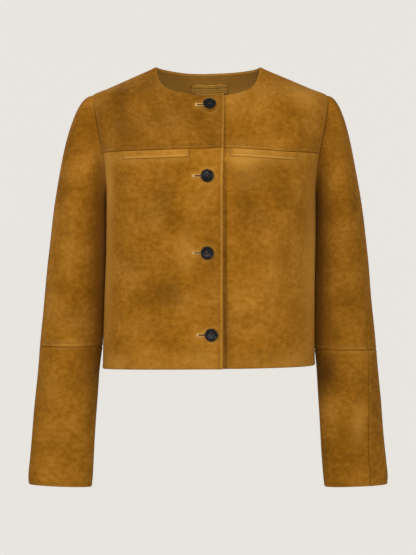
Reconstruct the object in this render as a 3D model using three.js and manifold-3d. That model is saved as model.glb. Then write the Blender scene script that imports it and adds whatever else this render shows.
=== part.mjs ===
// A short suede jacket with four buttons, filled out as if worn, with nobody in it.
// Millimetres. +Z is up, the front faces -Y and +X is the wearer's left.
// The origin is midway between the two points where the shoulder seams meet the neck.
import * as THREE from "three";
import { mergeVertices } from "three/addons/utils/BufferGeometryUtils.js";
import Module from "manifold-3d";

const wasm = await Module();
wasm.setup();

// Cloth and seams
const WALL = 2; // suede with its turnings pressed flat
const FACING_WALL = 1.5; // one layer of suede inside the back neck
const SEAM_GAP = 0.3; // between two pieces that are sewn edge to edge
const LAY_GAP = 0.35; // between a piece and the one that it lies on
const HEAD_GAP = 0.65; // between the armhole's edge and the sleeve's head
const LEFT = 1; // the wearer's left, at +X
const RIGHT = -1;

// Torso: one row for each level. half and centre are across the body, front and back are
// depths from the side line, and round is the exponent of the section's superellipse.
const TORSO = [
  { z: 6, half: 68.6, centre: 0.4, front: 21, back: 28, round: 2 },
  { z: 0, half: 82.3, centre: 0.4, front: 22, back: 34, round: 2 },
  { z: -7, half: 98, centre: 0.6, front: 25, back: 45, round: 2 },
  { z: -14, half: 114, centre: 1, front: 31, back: 54, round: 2 },
  { z: -25, half: 139, centre: 1.5, front: 44, back: 66, round: 2 },
  { z: -35, half: 162, centre: 2, front: 57, back: 74, round: 2 },
  { z: -46, half: 187, centre: 3, front: 70, back: 81, round: 2 },
  { z: -60, half: 191.5, centre: 4.5, front: 82, back: 87, round: 2 },
  { z: -80, half: 189, centre: 5, front: 92, back: 92, round: 2.02 },
  { z: -105, half: 184, centre: 5, front: 101, back: 96, round: 2.06 },
  { z: -136, half: 177.5, centre: 5, front: 110, back: 98, round: 2.15 },
  { z: -165, half: 172, centre: 5, front: 115.5, back: 98.5, round: 2.22 },
  { z: -205, half: 167.4, centre: 4.8, front: 119, back: 97, round: 2.3 },
  { z: -250, half: 167.2, centre: 4.8, front: 118.5, back: 93, round: 2.3 },
  { z: -310, half: 167.2, centre: 4, front: 115.5, back: 90, round: 2.3 },
  { z: -370, half: 167.8, centre: 2.5, front: 113.5, back: 91, round: 2.35 },
  { z: -430, half: 168.6, centre: 1.6, front: 113.5, back: 94, round: 2.38 },
  { z: -480, half: 169, centre: 1.3, front: 114, back: 97, round: 2.4 },
  { z: -500, half: 169, centre: 1.3, front: 114, back: 98, round: 2.4 },
];
const SIDE_LINE_SHIFT = -5; // the side line lies this far forward of the shoulder line, below the chest
const SHIFT_FROM_Z = -46;
const SHIFT_TO_Z = -136;

// Edges of the torso's pieces
const SHOULDER_Z = -46; // the shoulder seam's outer end
const UNDERARM_Z = -205;
const NECK_HALF = 82.3;
const FRONT_NECK = [
  { x: 0, z: -52.2 },
  { x: 20, z: -51.6 },
  { x: 38, z: -49 },
  { x: 53, z: -45 },
  { x: 66, z: -38.5 },
  { x: 74, z: -29.5 },
  { x: 79, z: -18.5 },
  { x: 81.6, z: -8.5 },
  { x: NECK_HALF, z: 0 },
];
const BACK_NECK = [
  { x: NECK_HALF, z: 0 },
  { x: 76, z: -1.6 },
  { x: 65, z: -3.2 },
  { x: 50, z: -4.8 },
  { x: 30, z: -6.1 },
  { x: 0, z: -6.6 },
];
// How far the armhole's edge lies inside the torso's widest point at that level
const ARMHOLE = [
  { z: -46, front: 0, back: 0 },
  { z: -50, front: 3.4, back: 3.2 },
  { z: -58, front: 5, back: 8.6 },
  { z: -70, front: 5.8, back: 11.8 },
  { z: -89, front: 5.5, back: 12.2 },
  { z: -117, front: 5.2, back: 11 },
  { z: -137, front: 5, back: 9.4 },
  { z: -157, front: 4.3, back: 7.6 },
  { z: -180, front: 2.9, back: 4.2 },
  { z: -195, front: 1.3, back: 1.5 },
  { z: -202, front: 0.4, back: 0.35 },
  { z: -205, front: 0, back: 0 },
];
// The yoke seam and the hem sink a little toward the sides
const YOKE_SEAM = [
  { x: -165, z: -138.8 },
  { x: -60, z: -138 },
  { x: 0, z: -136.6 },
  { x: 25, z: -135.6 },
  { x: 62, z: -137 },
  { x: 139, z: -140.2 },
  { x: 172, z: -140 },
];
const HEM_RIGHT_SIDE = -482;
const HEM_FRONT = -479;
const HEM_LEFT_SIDE = -475.8;

// Button front: the right front lies on the left front
const PLACKET_EDGE_TOP = 25.5; // the right front's free edge, at the neck
const PLACKET_EDGE_HEM = 22.6;
const UNDERLAP = -22.5; // the left front's free edge, hidden
const LIFT = WALL + LAY_GAP; // the right front rises this far to lie over the left
const LIFT_START = -86;
const LIFT_END = -42;

// Buttons, from the neck down, with the place of each button's middle
const BUTTONS = [
  { name: "button_1", x: 2.4, z: -68, lean: 7 },
  { name: "button_2", x: -1.2, z: -180, lean: 0 },
  { name: "button_3", x: -1.1, z: -298.8, lean: 0 },
  { name: "button_4", x: 5.1, z: -426, lean: 2 },
];
const BUTTON_RADIUS = 10.1;
const BUTTON_RIM = 4.1;
const BUTTON_DISH = 2.9;
const SHANK_RADIUS = 1.5;
const THREAD_HOLE_RADIUS = 0.85;
const THREAD_HOLE_CIRCLE = 2.6;
const BUTTONHOLE_OUT = 20; // from the button's middle toward the wearer's right
const BUTTONHOLE_IN = 4;
const BUTTONHOLE_SLIT = 0.9;
const SHANK_CLEARANCE = 0.5;

// Pocket welts, just under the yoke seam
const WELTS = [
  { name: "pocket_welt_right", from: -133.5, to: -29, drop: 12 },
  { name: "pocket_welt_left", from: 34.5, to: 139.5, drop: 11.5 },
];
const WELT_WALL = 2;
const WELT_BELOW_SEAM = 1;

// Inside the back neck
const FACING_ROWS = 4; // of the back's rows, down from the neck
const FACING_RIDGE_COLUMNS = 1; // how far it runs past the neck along the shoulder seams
const LOOP_COLUMNS = 4; // of the back's columns, about the centre back
const LOOP_FROM_ROW = 2;
const LOOP_TO_ROW = 3;
const LOOP_WALL = 1.4;

// Sleeves: one row for each level. outer is the silhouette, the same on both sides,
// depth is half the section from front to back and forward is its middle.
const BICEP_Z = -216;
const CUFF_Z = -666;
const SLEEVE = [
  { z: -196, outer: 241.8, depth: 63, forward: 4 },
  { z: -216, outer: 244.8, depth: 62, forward: 5 },
  { z: -254, outer: 250.1, depth: 60, forward: 7.5 },
  { z: -312, outer: 256.6, depth: 56, forward: 8 },
  { z: -370, outer: 261.8, depth: 52.5, forward: 5 },
  { z: -408, outer: 265.2, depth: 49.5, forward: 1 },
  { z: -446, outer: 268.3, depth: 46.5, forward: -4 },
  { z: -485, outer: 271.4, depth: 44, forward: -9 },
  { z: -533, outer: 275.3, depth: 41, forward: -15 },
  { z: -581, outer: 279, depth: 38, forward: -21 },
  { z: -629, outer: 282.9, depth: 34.5, forward: -27 },
  { z: -654, outer: 285, depth: 32.5, forward: -30 },
  { z: -666, outer: 284, depth: 31, forward: -31.5 },
  { z: -680, outer: 284, depth: 31, forward: -33 },
];
// The side of the sleeve that faces the body
const SLEEVE_CLEARANCE = 1.2;
const SLEEVE_LEAVES_BODY_Z = -440;
const SLEEVE_INNER = [
  { z: -440, x: 170.4 },
  { z: -485, x: 173.5 },
  { z: -533, x: 176.3 },
  { z: -581, x: 178.6 },
  { z: -629, x: 181.2 },
  { z: -654, x: 182.7 },
  { z: -666, x: 184.2 },
  { z: -680, x: 184.2 },
];
const CUFF_RISE = 4; // the cuff's outer end sits higher than its inner end
const SLEEVE_ROUND = 2.15;
const CAP_OUT = 0.765; // exponents of the sleeve head's way out and down from the armhole
const CAP_DOWN = 1.8;
const ELBOW_Z = { [LEFT]: -451.5, [RIGHT]: -446.5 };
// Where each sleeve's hind seam runs, in degrees from the outer side toward the front
const HIND_SEAM = {
  [LEFT]: [
    { z: -40, turn: -14 },
    { z: -216, turn: -4 },
    { z: -320, turn: 42 },
    { z: -450, turn: 48 },
    { z: -550, turn: 58 },
    { z: -620, turn: 66 },
    { z: -680, turn: 68 },
  ],
  [RIGHT]: [
    { z: -40, turn: -14 },
    { z: -216, turn: -12 },
    { z: -320, turn: -10 },
    { z: -450, turn: -10 },
    { z: -680, turn: -12 },
  ],
};
const FORE_SEAM_TURN = 180; // from the hind seam, round the front

// The largest soft folds of the torso: place, length and tilt from the upright in degrees
const TORSO_FOLDS = [
  { x: -118, z: -250, length: 95, width: 17, depth: 1.6, tilt: 8 },
  { x: -72, z: -396, length: 80, width: 22, depth: 1.5, tilt: -5 },
  { x: 104, z: -262, length: 90, width: 19, depth: 1.7, tilt: -9 },
  { x: 66, z: -410, length: 70, width: 24, depth: 1.4, tilt: 6 },
  { x: -131, z: -92, length: 34, width: 11, depth: 1.3, tilt: 24 },
  { x: 136, z: -90, length: 36, width: 12, depth: 1.4, tilt: -22 },
];
// The back's folds: the same columns, on the other side of the side seams
const BACK_FOLDS = [
  { x: -96, z: -300, length: 90, width: 20, depth: 2, tilt: -10 },
  { x: 88, z: -318, length: 84, width: 22, depth: 2, tilt: 9 },
  { x: -8, z: -415, length: 60, width: 26, depth: 1.8, tilt: 3 },
  { x: 128, z: -150, length: 42, width: 14, depth: 1.6, tilt: 20 },
  { x: -124, z: -156, length: 46, width: 13, depth: 1.7, tilt: -18 },
];
// The sleeves' folds: turn as above, tilt from the level ring in degrees
const SLEEVE_FOLDS = {
  [LEFT]: [
    { turn: 120, z: -292, length: 34, width: 10, depth: 1.8, tilt: 24 },
    { turn: 96, z: -398, length: 38, width: 11, depth: 1.7, tilt: -16 },
    { turn: 74, z: -520, length: 30, width: 12, depth: 1.3, tilt: 18 },
    { turn: -100, z: -352, length: 44, width: 12, depth: 2.2, tilt: 12 },
    { turn: -84, z: -424, length: 40, width: 11, depth: 2, tilt: -10 },
  ],
  [RIGHT]: [
    { turn: 116, z: -306, length: 36, width: 11, depth: 1.8, tilt: 20 },
    { turn: 88, z: -402, length: 34, width: 10, depth: 1.6, tilt: -20 },
    { turn: 100, z: -548, length: 32, width: 12, depth: 1.3, tilt: 14 },
    { turn: -96, z: -340, length: 42, width: 12, depth: 2.1, tilt: 14 },
    { turn: -88, z: -430, length: 38, width: 11, depth: 2, tilt: -12 },
  ],
};

const QUARTER = Math.PI / 2;
const radians = THREE.MathUtils.degToRad;
const { clamp, lerp, smoothstep } = THREE.MathUtils;

// A smooth function through the rows of a table, one column over another, that never
// rises where the rows fall (a monotone cubic).
function through(rows, value, over = "z") {
  const sorted = [...rows].sort((a, b) => a[over] - b[over]);
  const at = sorted.map((row) => row[over]);
  const y = sorted.map((row) => row[value]);
  const last = at.length - 1;
  const rise = at.slice(1).map((t, i) => (y[i + 1] - y[i]) / (t - at[i]));
  const slope = y.map((_, i) => {
    if (i === 0) return rise[0];
    if (i === last) return rise[last - 1];
    const product = rise[i - 1] * rise[i];
    return product <= 0 ? 0 : (2 * product) / (rise[i - 1] + rise[i]);
  });
  return (t) => {
    const i = clamp(at.findIndex((a) => a > t) - 1, 0, last - 1);
    const k = t >= at[last] ? last - 1 : i;
    const step = at[k + 1] - at[k];
    const s = clamp((t - at[k]) / step, 0, 1);
    const near = (1 + 2 * s) * (1 - s) ** 2 * y[k] + s * (1 - s) ** 2 * step * slope[k];
    const far = s * s * (3 - 2 * s) * y[k + 1] + s * s * (s - 1) * step * slope[k + 1];
    return near + far;
  };
}

const torso = {};
for (const key of ["half", "centre", "front", "back", "round"]) torso[key] = through(TORSO, key);
const sideLine = (z) =>
  SIDE_LINE_SHIFT * (1 - smoothstep(z, SHIFT_TO_Z, SHIFT_FROM_Z));

// How high a set of soft folds stands at a place: a ridge that fades along and across.
function foldHeight(folds, distanceOf) {
  let height = 0;
  for (const fold of folds) {
    const { across, along } = distanceOf(fold);
    const tilt = radians(fold.tilt);
    const side = across * Math.cos(tilt) - along * Math.sin(tilt);
    const way = across * Math.sin(tilt) + along * Math.cos(tilt);
    height += fold.depth * Math.exp(-((side / fold.width) ** 2) - (way / fold.length) ** 2);
  }
  return height;
}

// A point of the torso's outer side before its folds: angle 0 is the centre front,
// a quarter turn the wearer's left side seam and half a turn the centre back.
function torsoSection(angle, z) {
  const power = 2 / torso.round(z);
  const s = Math.sin(angle);
  const c = Math.cos(angle);
  const depth = c > 0 ? -torso.front(z) : torso.back(z);
  return new THREE.Vector3(
    torso.centre(z) + torso.half(z) * Math.sign(s) * Math.abs(s) ** power,
    sideLine(z) + depth * Math.abs(c) ** power,
    z,
  );
}

// The direction that a surface faces at a place, from its two slopes there.
function facing(surface, a, b, stepA, stepB) {
  const alongA = surface(a + stepA, b).sub(surface(a - stepA, b));
  const alongB = surface(a, b + stepB).sub(surface(a, b - stepB));
  return alongA.cross(alongB).normalize();
}

const TURN_STEP = 0.01;
const LEVEL_STEP = 1;
function torsoSkin(angle, z) {
  const point = torsoSection(angle, z);
  const folds = Math.cos(angle) > 0 ? TORSO_FOLDS : BACK_FOLDS;
  const height = foldHeight(folds, (fold) => ({
    across: point.x - fold.x,
    along: point.z - fold.z,
  }));
  return point.addScaledVector(facing(torsoSection, angle, z, TURN_STEP, LEVEL_STEP), height);
}
const torsoFacing = (angle, z) => facing(torsoSkin, angle, z, TURN_STEP, LEVEL_STEP);

// The angle at which the torso's section has a given x, on the front.
function frontAngle(x, z) {
  const offset = x - torso.centre(z);
  const share = clamp(Math.abs(offset) / torso.half(z), 0, 1);
  return Math.sign(offset) * Math.asin(share ** (torso.round(z) / 2));
}
// The angle that lies a distance ahead of or behind the side line, for a seam's allowance.
function sideAngle(side, z, ahead) {
  const depth = ahead > 0 ? torso.front(z) : torso.back(z);
  const short = Math.asin((Math.abs(ahead) / depth) ** (torso.round(z) / 2));
  return side * (QUARTER - Math.sign(ahead) * short);
}

const armholeIn = { front: through(ARMHOLE, "front"), back: through(ARMHOLE, "back") };
function armholeAngle(side, z, face) {
  if (z <= UNDERARM_Z || z >= SHOULDER_Z) {
    return sideAngle(side, z, ((face === "front" ? 1 : -1) * SEAM_GAP) / 2);
  }
  const share = clamp(1 - armholeIn[face](z) / torso.half(z), 0, 1);
  const angle = Math.asin(share ** (torso.round(z) / 2));
  return side * (face === "front" ? angle : Math.PI - angle);
}
// Round the armhole: 0 is the shoulder, a quarter turn the front and half a turn the underarm.
const armholeLevel = (turn) => lerp(SHOULDER_Z, UNDERARM_Z, (1 - Math.cos(turn)) / 2);
function armholePoint(side, turn) {
  const z = armholeLevel(turn);
  return torsoSkin(armholeAngle(side, z, Math.sin(turn) >= 0 ? "front" : "back"), z);
}

// Evenly spaced shares from 0 to 1.
const shares = (count) => Array.from({ length: count + 1 }, (_, i) => i / count);

// A place inside four edges, each a function of its share that returns a level and a way
// across, which is an angle or an x.
function between(across, bottom, top, near, far) {
  return (u, v) => {
    const mix = (key) => {
      const sides = lerp(bottom(u)[key], top(u)[key], v) + lerp(near(v)[key], far(v)[key], u);
      const low = lerp(bottom(0)[key], bottom(1)[key], u);
      const high = lerp(top(0)[key], top(1)[key], u);
      return sides - lerp(low, high, v);
    };
    return { [across]: mix(across), z: mix("z") };
  };
}

// A closed wall between two layers of the same grid, its rim closed all round.
function wallGeometry(rowShares, columnShares, layerPoint) {
  const rows = rowShares.length;
  const columns = columnShares.length;
  const positions = [];
  for (const layer of ["outer", "inner"]) {
    for (const v of rowShares) {
      for (const u of columnShares) positions.push(...layerPoint(u, v, layer).toArray());
    }
  }
  const index = [];
  const id = (row, column, layer) => layer * rows * columns + row * columns + column;
  const quad = (a, b, c, d) => index.push(a, b, c, a, c, d);
  for (let r = 0; r < rows - 1; r++) {
    for (let c = 0; c < columns - 1; c++) {
      quad(id(r, c, 0), id(r, c + 1, 0), id(r + 1, c + 1, 0), id(r + 1, c, 0));
      quad(id(r, c, 1), id(r + 1, c, 1), id(r + 1, c + 1, 1), id(r, c + 1, 1));
    }
  }
  for (let c = 0; c < columns - 1; c++) {
    quad(id(0, c, 0), id(0, c, 1), id(0, c + 1, 1), id(0, c + 1, 0));
    quad(id(rows - 1, c, 0), id(rows - 1, c + 1, 0), id(rows - 1, c + 1, 1), id(rows - 1, c, 1));
  }
  for (let r = 0; r < rows - 1; r++) {
    quad(id(r, 0, 0), id(r + 1, 0, 0), id(r + 1, 0, 1), id(r, 0, 1));
    quad(id(r, columns - 1, 0), id(r, columns - 1, 1), id(r + 1, columns - 1, 1), id(r + 1, columns - 1, 0));
  }
  const geometry = new THREE.BufferGeometry();
  geometry.setAttribute("position", new THREE.Float32BufferAttribute(positions, 3));
  geometry.setIndex(signedVolume(positions, index) < 0 ? turned(index) : index);
  return geometry;
}
function signedVolume(positions, index) {
  const corner = (i) => new THREE.Vector3(...positions.slice(3 * i, 3 * i + 3));
  let volume = 0;
  for (let i = 0; i < index.length; i += 3) {
    volume += corner(index[i]).dot(corner(index[i + 1]).cross(corner(index[i + 2]))) / 6;
  }
  return volume;
}
function turned(index) {
  return index.map((_, i) => index[i - (i % 3) + [0, 2, 1][i % 3]]);
}

// A wall on the torso: offset is how far its outer side stands out from the skin.
function torsoWall(place, rowShares, columnShares, offset = () => 0, wall = WALL) {
  return wallGeometry(rowShares, columnShares, (u, v, layer) => {
    const { angle, z } = place(u, v);
    const point = torsoSkin(angle, z);
    const out = offset(point) - (layer === "inner" ? wall : 0);
    return point.addScaledVector(torsoFacing(angle, z), out);
  });
}

// Boolean cuts
function solidOf(geometry) {
  const bare = geometry.index ? geometry.toNonIndexed() : geometry.clone();
  bare.deleteAttribute("normal");
  bare.deleteAttribute("uv");
  const merged = mergeVertices(bare, 1e-4);
  return new wasm.Manifold(
    new wasm.Mesh({
      numProp: 3,
      vertProperties: new Float32Array(merged.attributes.position.array),
      triVerts: new Uint32Array(merged.index.array),
    }),
  );
}
function geometryOf(solid) {
  const mesh = solid.getMesh();
  const geometry = new THREE.BufferGeometry();
  geometry.setAttribute("position", new THREE.BufferAttribute(mesh.vertProperties, 3));
  geometry.setIndex(new THREE.BufferAttribute(mesh.triVerts, 1));
  return geometry;
}

const suede = () => new THREE.MeshStandardMaterial({ color: 0x96611a, roughness: 0.95, metalness: 0 });
const horn = () => new THREE.MeshStandardMaterial({ color: 0x17161c, roughness: 0.25, metalness: 0 });
const jacket = new THREE.Group();
function add(name, geometry, material) {
  const mesh = new THREE.Mesh(geometry, material);
  mesh.name = name;
  jacket.add(mesh);
}

// The right front lies on the left: it rises over the underlap.
const lifted = (point) => LIFT * smoothstep(point.x, LIFT_START, LIFT_END);
const frontOffset = (side) => (side === RIGHT ? lifted : () => 0);

// The free edge of a front at a level: the placket on the right, the underlap on the left.
function frontEdge(side, z) {
  if (side === LEFT) return UNDERLAP;
  return lerp(PLACKET_EDGE_TOP, PLACKET_EDGE_HEM, smoothstep(-z, 60, 220));
}

const yokeSeam = through(YOKE_SEAM, "z", "x");
const frontNeckCurve = new THREE.CatmullRomCurve3([
  ...[...FRONT_NECK].reverse().map(({ x, z }) => new THREE.Vector3(-x, 0, z)),
  ...FRONT_NECK.slice(1).map(({ x, z }) => new THREE.Vector3(x, 0, z)),
]);
const backNeckCurve = new THREE.CatmullRomCurve3([
  ...BACK_NECK.map(({ x, z }) => new THREE.Vector3(x, 0, z)),
  ...[...BACK_NECK].reverse().slice(1).map(({ x, z }) => new THREE.Vector3(-x, 0, z)),
]);

// The share of the front neck curve at which it reaches a given x.
function neckShareAt(x) {
  let low = 0;
  let high = 1;
  for (let i = 0; i < 40; i++) {
    const middle = (low + high) / 2;
    if (frontNeckCurve.getPointAt(middle).x < x) low = middle;
    else high = middle;
  }
  return low;
}

// Front yokes: from the neck and the shoulder seam down to the yoke seam. Their rows lie
// close together at the shoulder, where the cloth turns over to the back.
const YOKE_NECK_COLUMNS = 6;
const YOKE_SHOULDER_COLUMNS = 6;
const YOKE_ROWS = 9;
const NECK_SPLIT = YOKE_NECK_COLUMNS / (YOKE_NECK_COLUMNS + YOKE_SHOULDER_COLUMNS);
const YOKE_SIDE_Z = -139;
const yokeTurn = Math.acos(1 - (2 * (SHOULDER_Z - YOKE_SIDE_Z)) / (SHOULDER_Z - UNDERARM_Z));
function yokeLine(side, allowance) {
  const start = frontAngle(frontEdge(side, YOKE_SIDE_Z), YOKE_SIDE_Z);
  const sideX = side * torso.half(YOKE_SIDE_Z) + torso.centre(YOKE_SIDE_Z);
  const end = armholeAngle(side, yokeSeam(sideX), "front");
  return (u) => {
    const angle = lerp(start, end, u);
    const z = yokeSeam(torsoSection(angle, YOKE_SIDE_Z).x) + allowance;
    return { angle, z, x: torsoSection(angle, z).x };
  };
}
function yokeGeometry(side) {
  const neckStart = neckShareAt(frontEdge(side, SHOULDER_Z));
  const neckEnd = side === LEFT ? 1 : 0;
  const ridgeX = (z) => torso.centre(z) + side * torso.half(z);
  const top = (u) => {
    if (u > NECK_SPLIT) {
      const z = lerp(0, SHOULDER_Z, (u - NECK_SPLIT) / (1 - NECK_SPLIT));
      return { x: ridgeX(z), z };
    }
    const { x, z } = frontNeckCurve.getPointAt(lerp(neckStart, neckEnd, u / NECK_SPLIT));
    return { x: x + torso.centre(0), z };
  };
  const bottom = yokeLine(side, SEAM_GAP / 2);
  const far = (v) => {
    const z = lerp(bottom(1).z, SHOULDER_Z, v);
    return { x: torsoSection(armholeAngle(side, z, "front"), z).x, z };
  };
  const near = (v) => {
    const z = lerp(bottom(0).z, top(0).z, v);
    return { x: frontEdge(side, z), z };
  };
  const flat = between("x", bottom, top, near, far);
  const place = (u, v) => {
    const { x, z } = flat(u, v);
    const seam = sideAngle(side, z, SEAM_GAP / 2);
    return { angle: side * Math.min(side * frontAngle(x, z), side * seam), z };
  };
  const rows = shares(YOKE_ROWS).map(
    (s) => 1 - (1 - Math.cos(yokeTurn * (1 - s))) / (1 - Math.cos(yokeTurn)),
  );
  const columns = shares(YOKE_NECK_COLUMNS + YOKE_SHOULDER_COLUMNS);
  return torsoWall(place, rows, columns, frontOffset(side));
}

// Lower fronts: from the yoke seam to the hem, with the armhole's lower front.
const PANEL_COLUMNS = 12;
const PANEL_ARMHOLE_ROWS = 7;
const PANEL_SIDE_ROWS = 12;
const hemAt = (side, share) => lerp(HEM_FRONT, side === LEFT ? HEM_LEFT_SIDE : HEM_RIGHT_SIDE, share);
function panelGeometry(side) {
  const top = yokeLine(side, -SEAM_GAP / 2);
  const bottom = (u) => {
    const z = hemAt(side, u);
    const start = frontAngle(frontEdge(side, z), z);
    return { angle: lerp(start, sideAngle(side, z, SEAM_GAP / 2), u), z };
  };
  const levelAt = (v) => lerp(bottom(1).z, top(1).z, v);
  const far = (v) => {
    const z = levelAt(v);
    return { angle: armholeAngle(side, z, "front"), z };
  };
  const near = (v) => {
    const z = lerp(bottom(0).z, top(0).z, v);
    return { angle: frontAngle(frontEdge(side, z), z), z };
  };
  const shareOf = (z) => (z - bottom(1).z) / (top(1).z - bottom(1).z);
  const low = shares(PANEL_SIDE_ROWS).map((s) => shareOf(lerp(bottom(1).z, UNDERARM_Z, s)));
  const high = shares(PANEL_ARMHOLE_ROWS)
    .slice(1)
    .map((s) => Math.min(1, shareOf(armholeLevel(lerp(Math.PI, yokeTurn, s)))));
  high[high.length - 1] = 1;
  const place = between("angle", bottom, top, near, far);
  return torsoWall(place, [...low, ...high], shares(PANEL_COLUMNS), frontOffset(side));
}

// The back: one piece from the hem to the shoulder seams and the neck. Its levels run from
// 0 at the hem to 1 at the underarm and 2 at the shoulder seams and the neck.
const BACK_RIDGE_COLUMNS = 6;
const BACK_NECK_COLUMNS = 12;
const BACK_SIDE_ROWS = 10;
const BACK_ARMHOLE_ROWS = 12;
const BACK_COLUMNS = 2 * BACK_RIDGE_COLUMNS + BACK_NECK_COLUMNS;
const backColumns = shares(BACK_COLUMNS);
// Angles run on past half a turn to the wearer's right.
const wrapped = (side, angle) => (side === LEFT ? angle : 2 * Math.PI + angle);
const backSeam = (side, z) => wrapped(side, sideAngle(side, z, -SEAM_GAP / 2));
function backPlace() {
  const ridge = BACK_RIDGE_COLUMNS / BACK_COLUMNS;
  const across = (u, z) => lerp(backSeam(LEFT, z), backSeam(RIGHT, z), u);
  const top = (u) => {
    if (u > ridge && u < 1 - ridge) {
      const { x, z } = backNeckCurve.getPointAt((u - ridge) / (1 - 2 * ridge));
      return { x: x + torso.centre(0), z };
    }
    const side = u < 0.5 ? LEFT : RIGHT;
    const z = lerp(SHOULDER_Z, 0, (side === LEFT ? u : 1 - u) / ridge);
    return { x: torso.centre(z) + side * torso.half(z), z };
  };
  const bottom = (u) => ({ x: torsoSection(across(u, UNDERARM_Z), UNDERARM_Z).x, z: UNDERARM_Z });
  const armhole = (side) => (v) => {
    const z = lerp(UNDERARM_Z, SHOULDER_Z, v);
    return { x: torsoSection(armholeAngle(side, z, "back"), z).x, z };
  };
  const upper = between("x", bottom, top, armhole(LEFT), armhole(RIGHT));
  return (u, level) => {
    if (level < 1) {
      const z = lerp(lerp(HEM_LEFT_SIDE, HEM_RIGHT_SIDE, u), UNDERARM_Z, level);
      return { angle: across(u, z), z };
    }
    const { x, z } = upper(u, level - 1);
    const angle = Math.PI - frontAngle(x, z);
    return { angle: clamp(angle, backSeam(LEFT, z), backSeam(RIGHT, z)), z };
  };
}
const onBack = backPlace();
// The level of a row, counted down from the neck, with rows close together at both ends.
const backRow = (row) => 2 - (1 - Math.cos((Math.PI * row) / BACK_ARMHOLE_ROWS)) / 2;
function backGeometry() {
  const low = shares(BACK_SIDE_ROWS).slice(0, -1);
  const high = shares(BACK_ARMHOLE_ROWS).map((s) => backRow(BACK_ARMHOLE_ROWS * (1 - s)));
  return torsoWall(onBack, [...low, ...high], backColumns);
}

// Buttonholes: a level slit that opens to a round end about the button's shank.
const shankPlace = ({ x, z }) => {
  const angle = frontAngle(x, z);
  const point = torsoSkin(angle, z);
  return { point, out: torsoFacing(angle, z) };
};
function cylinderAlong(radius, length, from, direction, sides = 20) {
  const geometry = new THREE.CylinderGeometry(radius, radius, length, sides);
  geometry.translate(0, length / 2, 0);
  const turn = new THREE.Quaternion().setFromUnitVectors(new THREE.Vector3(0, 1, 0), direction);
  return geometry.applyQuaternion(turn).translate(from.x, from.y, from.z);
}
const CUT_DEPTH = 8;
function buttonholeCut(button) {
  const { point, out } = shankPlace(button);
  const back = point.clone().addScaledVector(out, -1);
  const round = solidOf(cylinderAlong(SHANK_RADIUS + SHANK_CLEARANCE, CUT_DEPTH, back, out));
  const slit = new THREE.BoxGeometry(BUTTONHOLE_OUT + BUTTONHOLE_IN, 2 * CUT_DEPTH, BUTTONHOLE_SLIT);
  slit.translate(point.x + (BUTTONHOLE_IN - BUTTONHOLE_OUT) / 2, point.y, point.z);
  return round.add(solidOf(slit));
}
function withButtonholes(geometry, buttons) {
  let solid = solidOf(geometry);
  for (const button of buttons) solid = solid.subtract(buttonholeCut(button));
  return geometryOf(solid);
}

add("back", backGeometry(), suede());
add("front_yoke_right", withButtonholes(yokeGeometry(RIGHT), BUTTONS.slice(0, 1)), suede());
add("front_yoke_left", yokeGeometry(LEFT), suede());
add("front_panel_right", withButtonholes(panelGeometry(RIGHT), BUTTONS.slice(1)), suede());
add("front_panel_left", panelGeometry(LEFT), suede());

// Pocket welts lie on the lower fronts, under the yoke seam.
const WELT_COLUMNS = 14;
const WELT_ROWS = 2;
for (const { name, from, to, drop } of WELTS) {
  const place = (u, v) => {
    const x = lerp(from, to, u);
    const z = yokeSeam(x) - WELT_BELOW_SEAM - drop * (1 - v);
    return { angle: frontAngle(x, z), z };
  };
  const side = from < 0 ? RIGHT : LEFT;
  const offset = (point) => frontOffset(side)(point) + LAY_GAP + WELT_WALL;
  add(name, torsoWall(place, shares(WELT_ROWS), shares(WELT_COLUMNS), offset, WELT_WALL), suede());
}

// The facing lies against the inside of the back, and the hanger loop, a flat strip across
// the centre back, lies on the facing. Both are made from the back's own places.
const facingRows = Array.from({ length: FACING_ROWS + 1 }, (_, row) => backRow(FACING_ROWS - row));
const facingStart = BACK_RIDGE_COLUMNS - FACING_RIDGE_COLUMNS;
const facingColumns = backColumns.slice(facingStart, BACK_COLUMNS - facingStart + 1);
const facingOffset = () => -WALL - LAY_GAP;
const facingWall = torsoWall(onBack, facingRows, facingColumns, facingOffset, FACING_WALL);
add("back_neck_facing", facingWall, suede());

const loopRows = [backRow(LOOP_TO_ROW), backRow(LOOP_FROM_ROW)];
const loopStart = (BACK_COLUMNS - LOOP_COLUMNS) / 2;
const loopColumns = backColumns.slice(loopStart, loopStart + LOOP_COLUMNS + 1);
const loopOffset = () => -WALL - FACING_WALL - 2 * LAY_GAP;
add("hanger_loop", torsoWall(onBack, loopRows, loopColumns, loopOffset, LOOP_WALL), suede());

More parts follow.
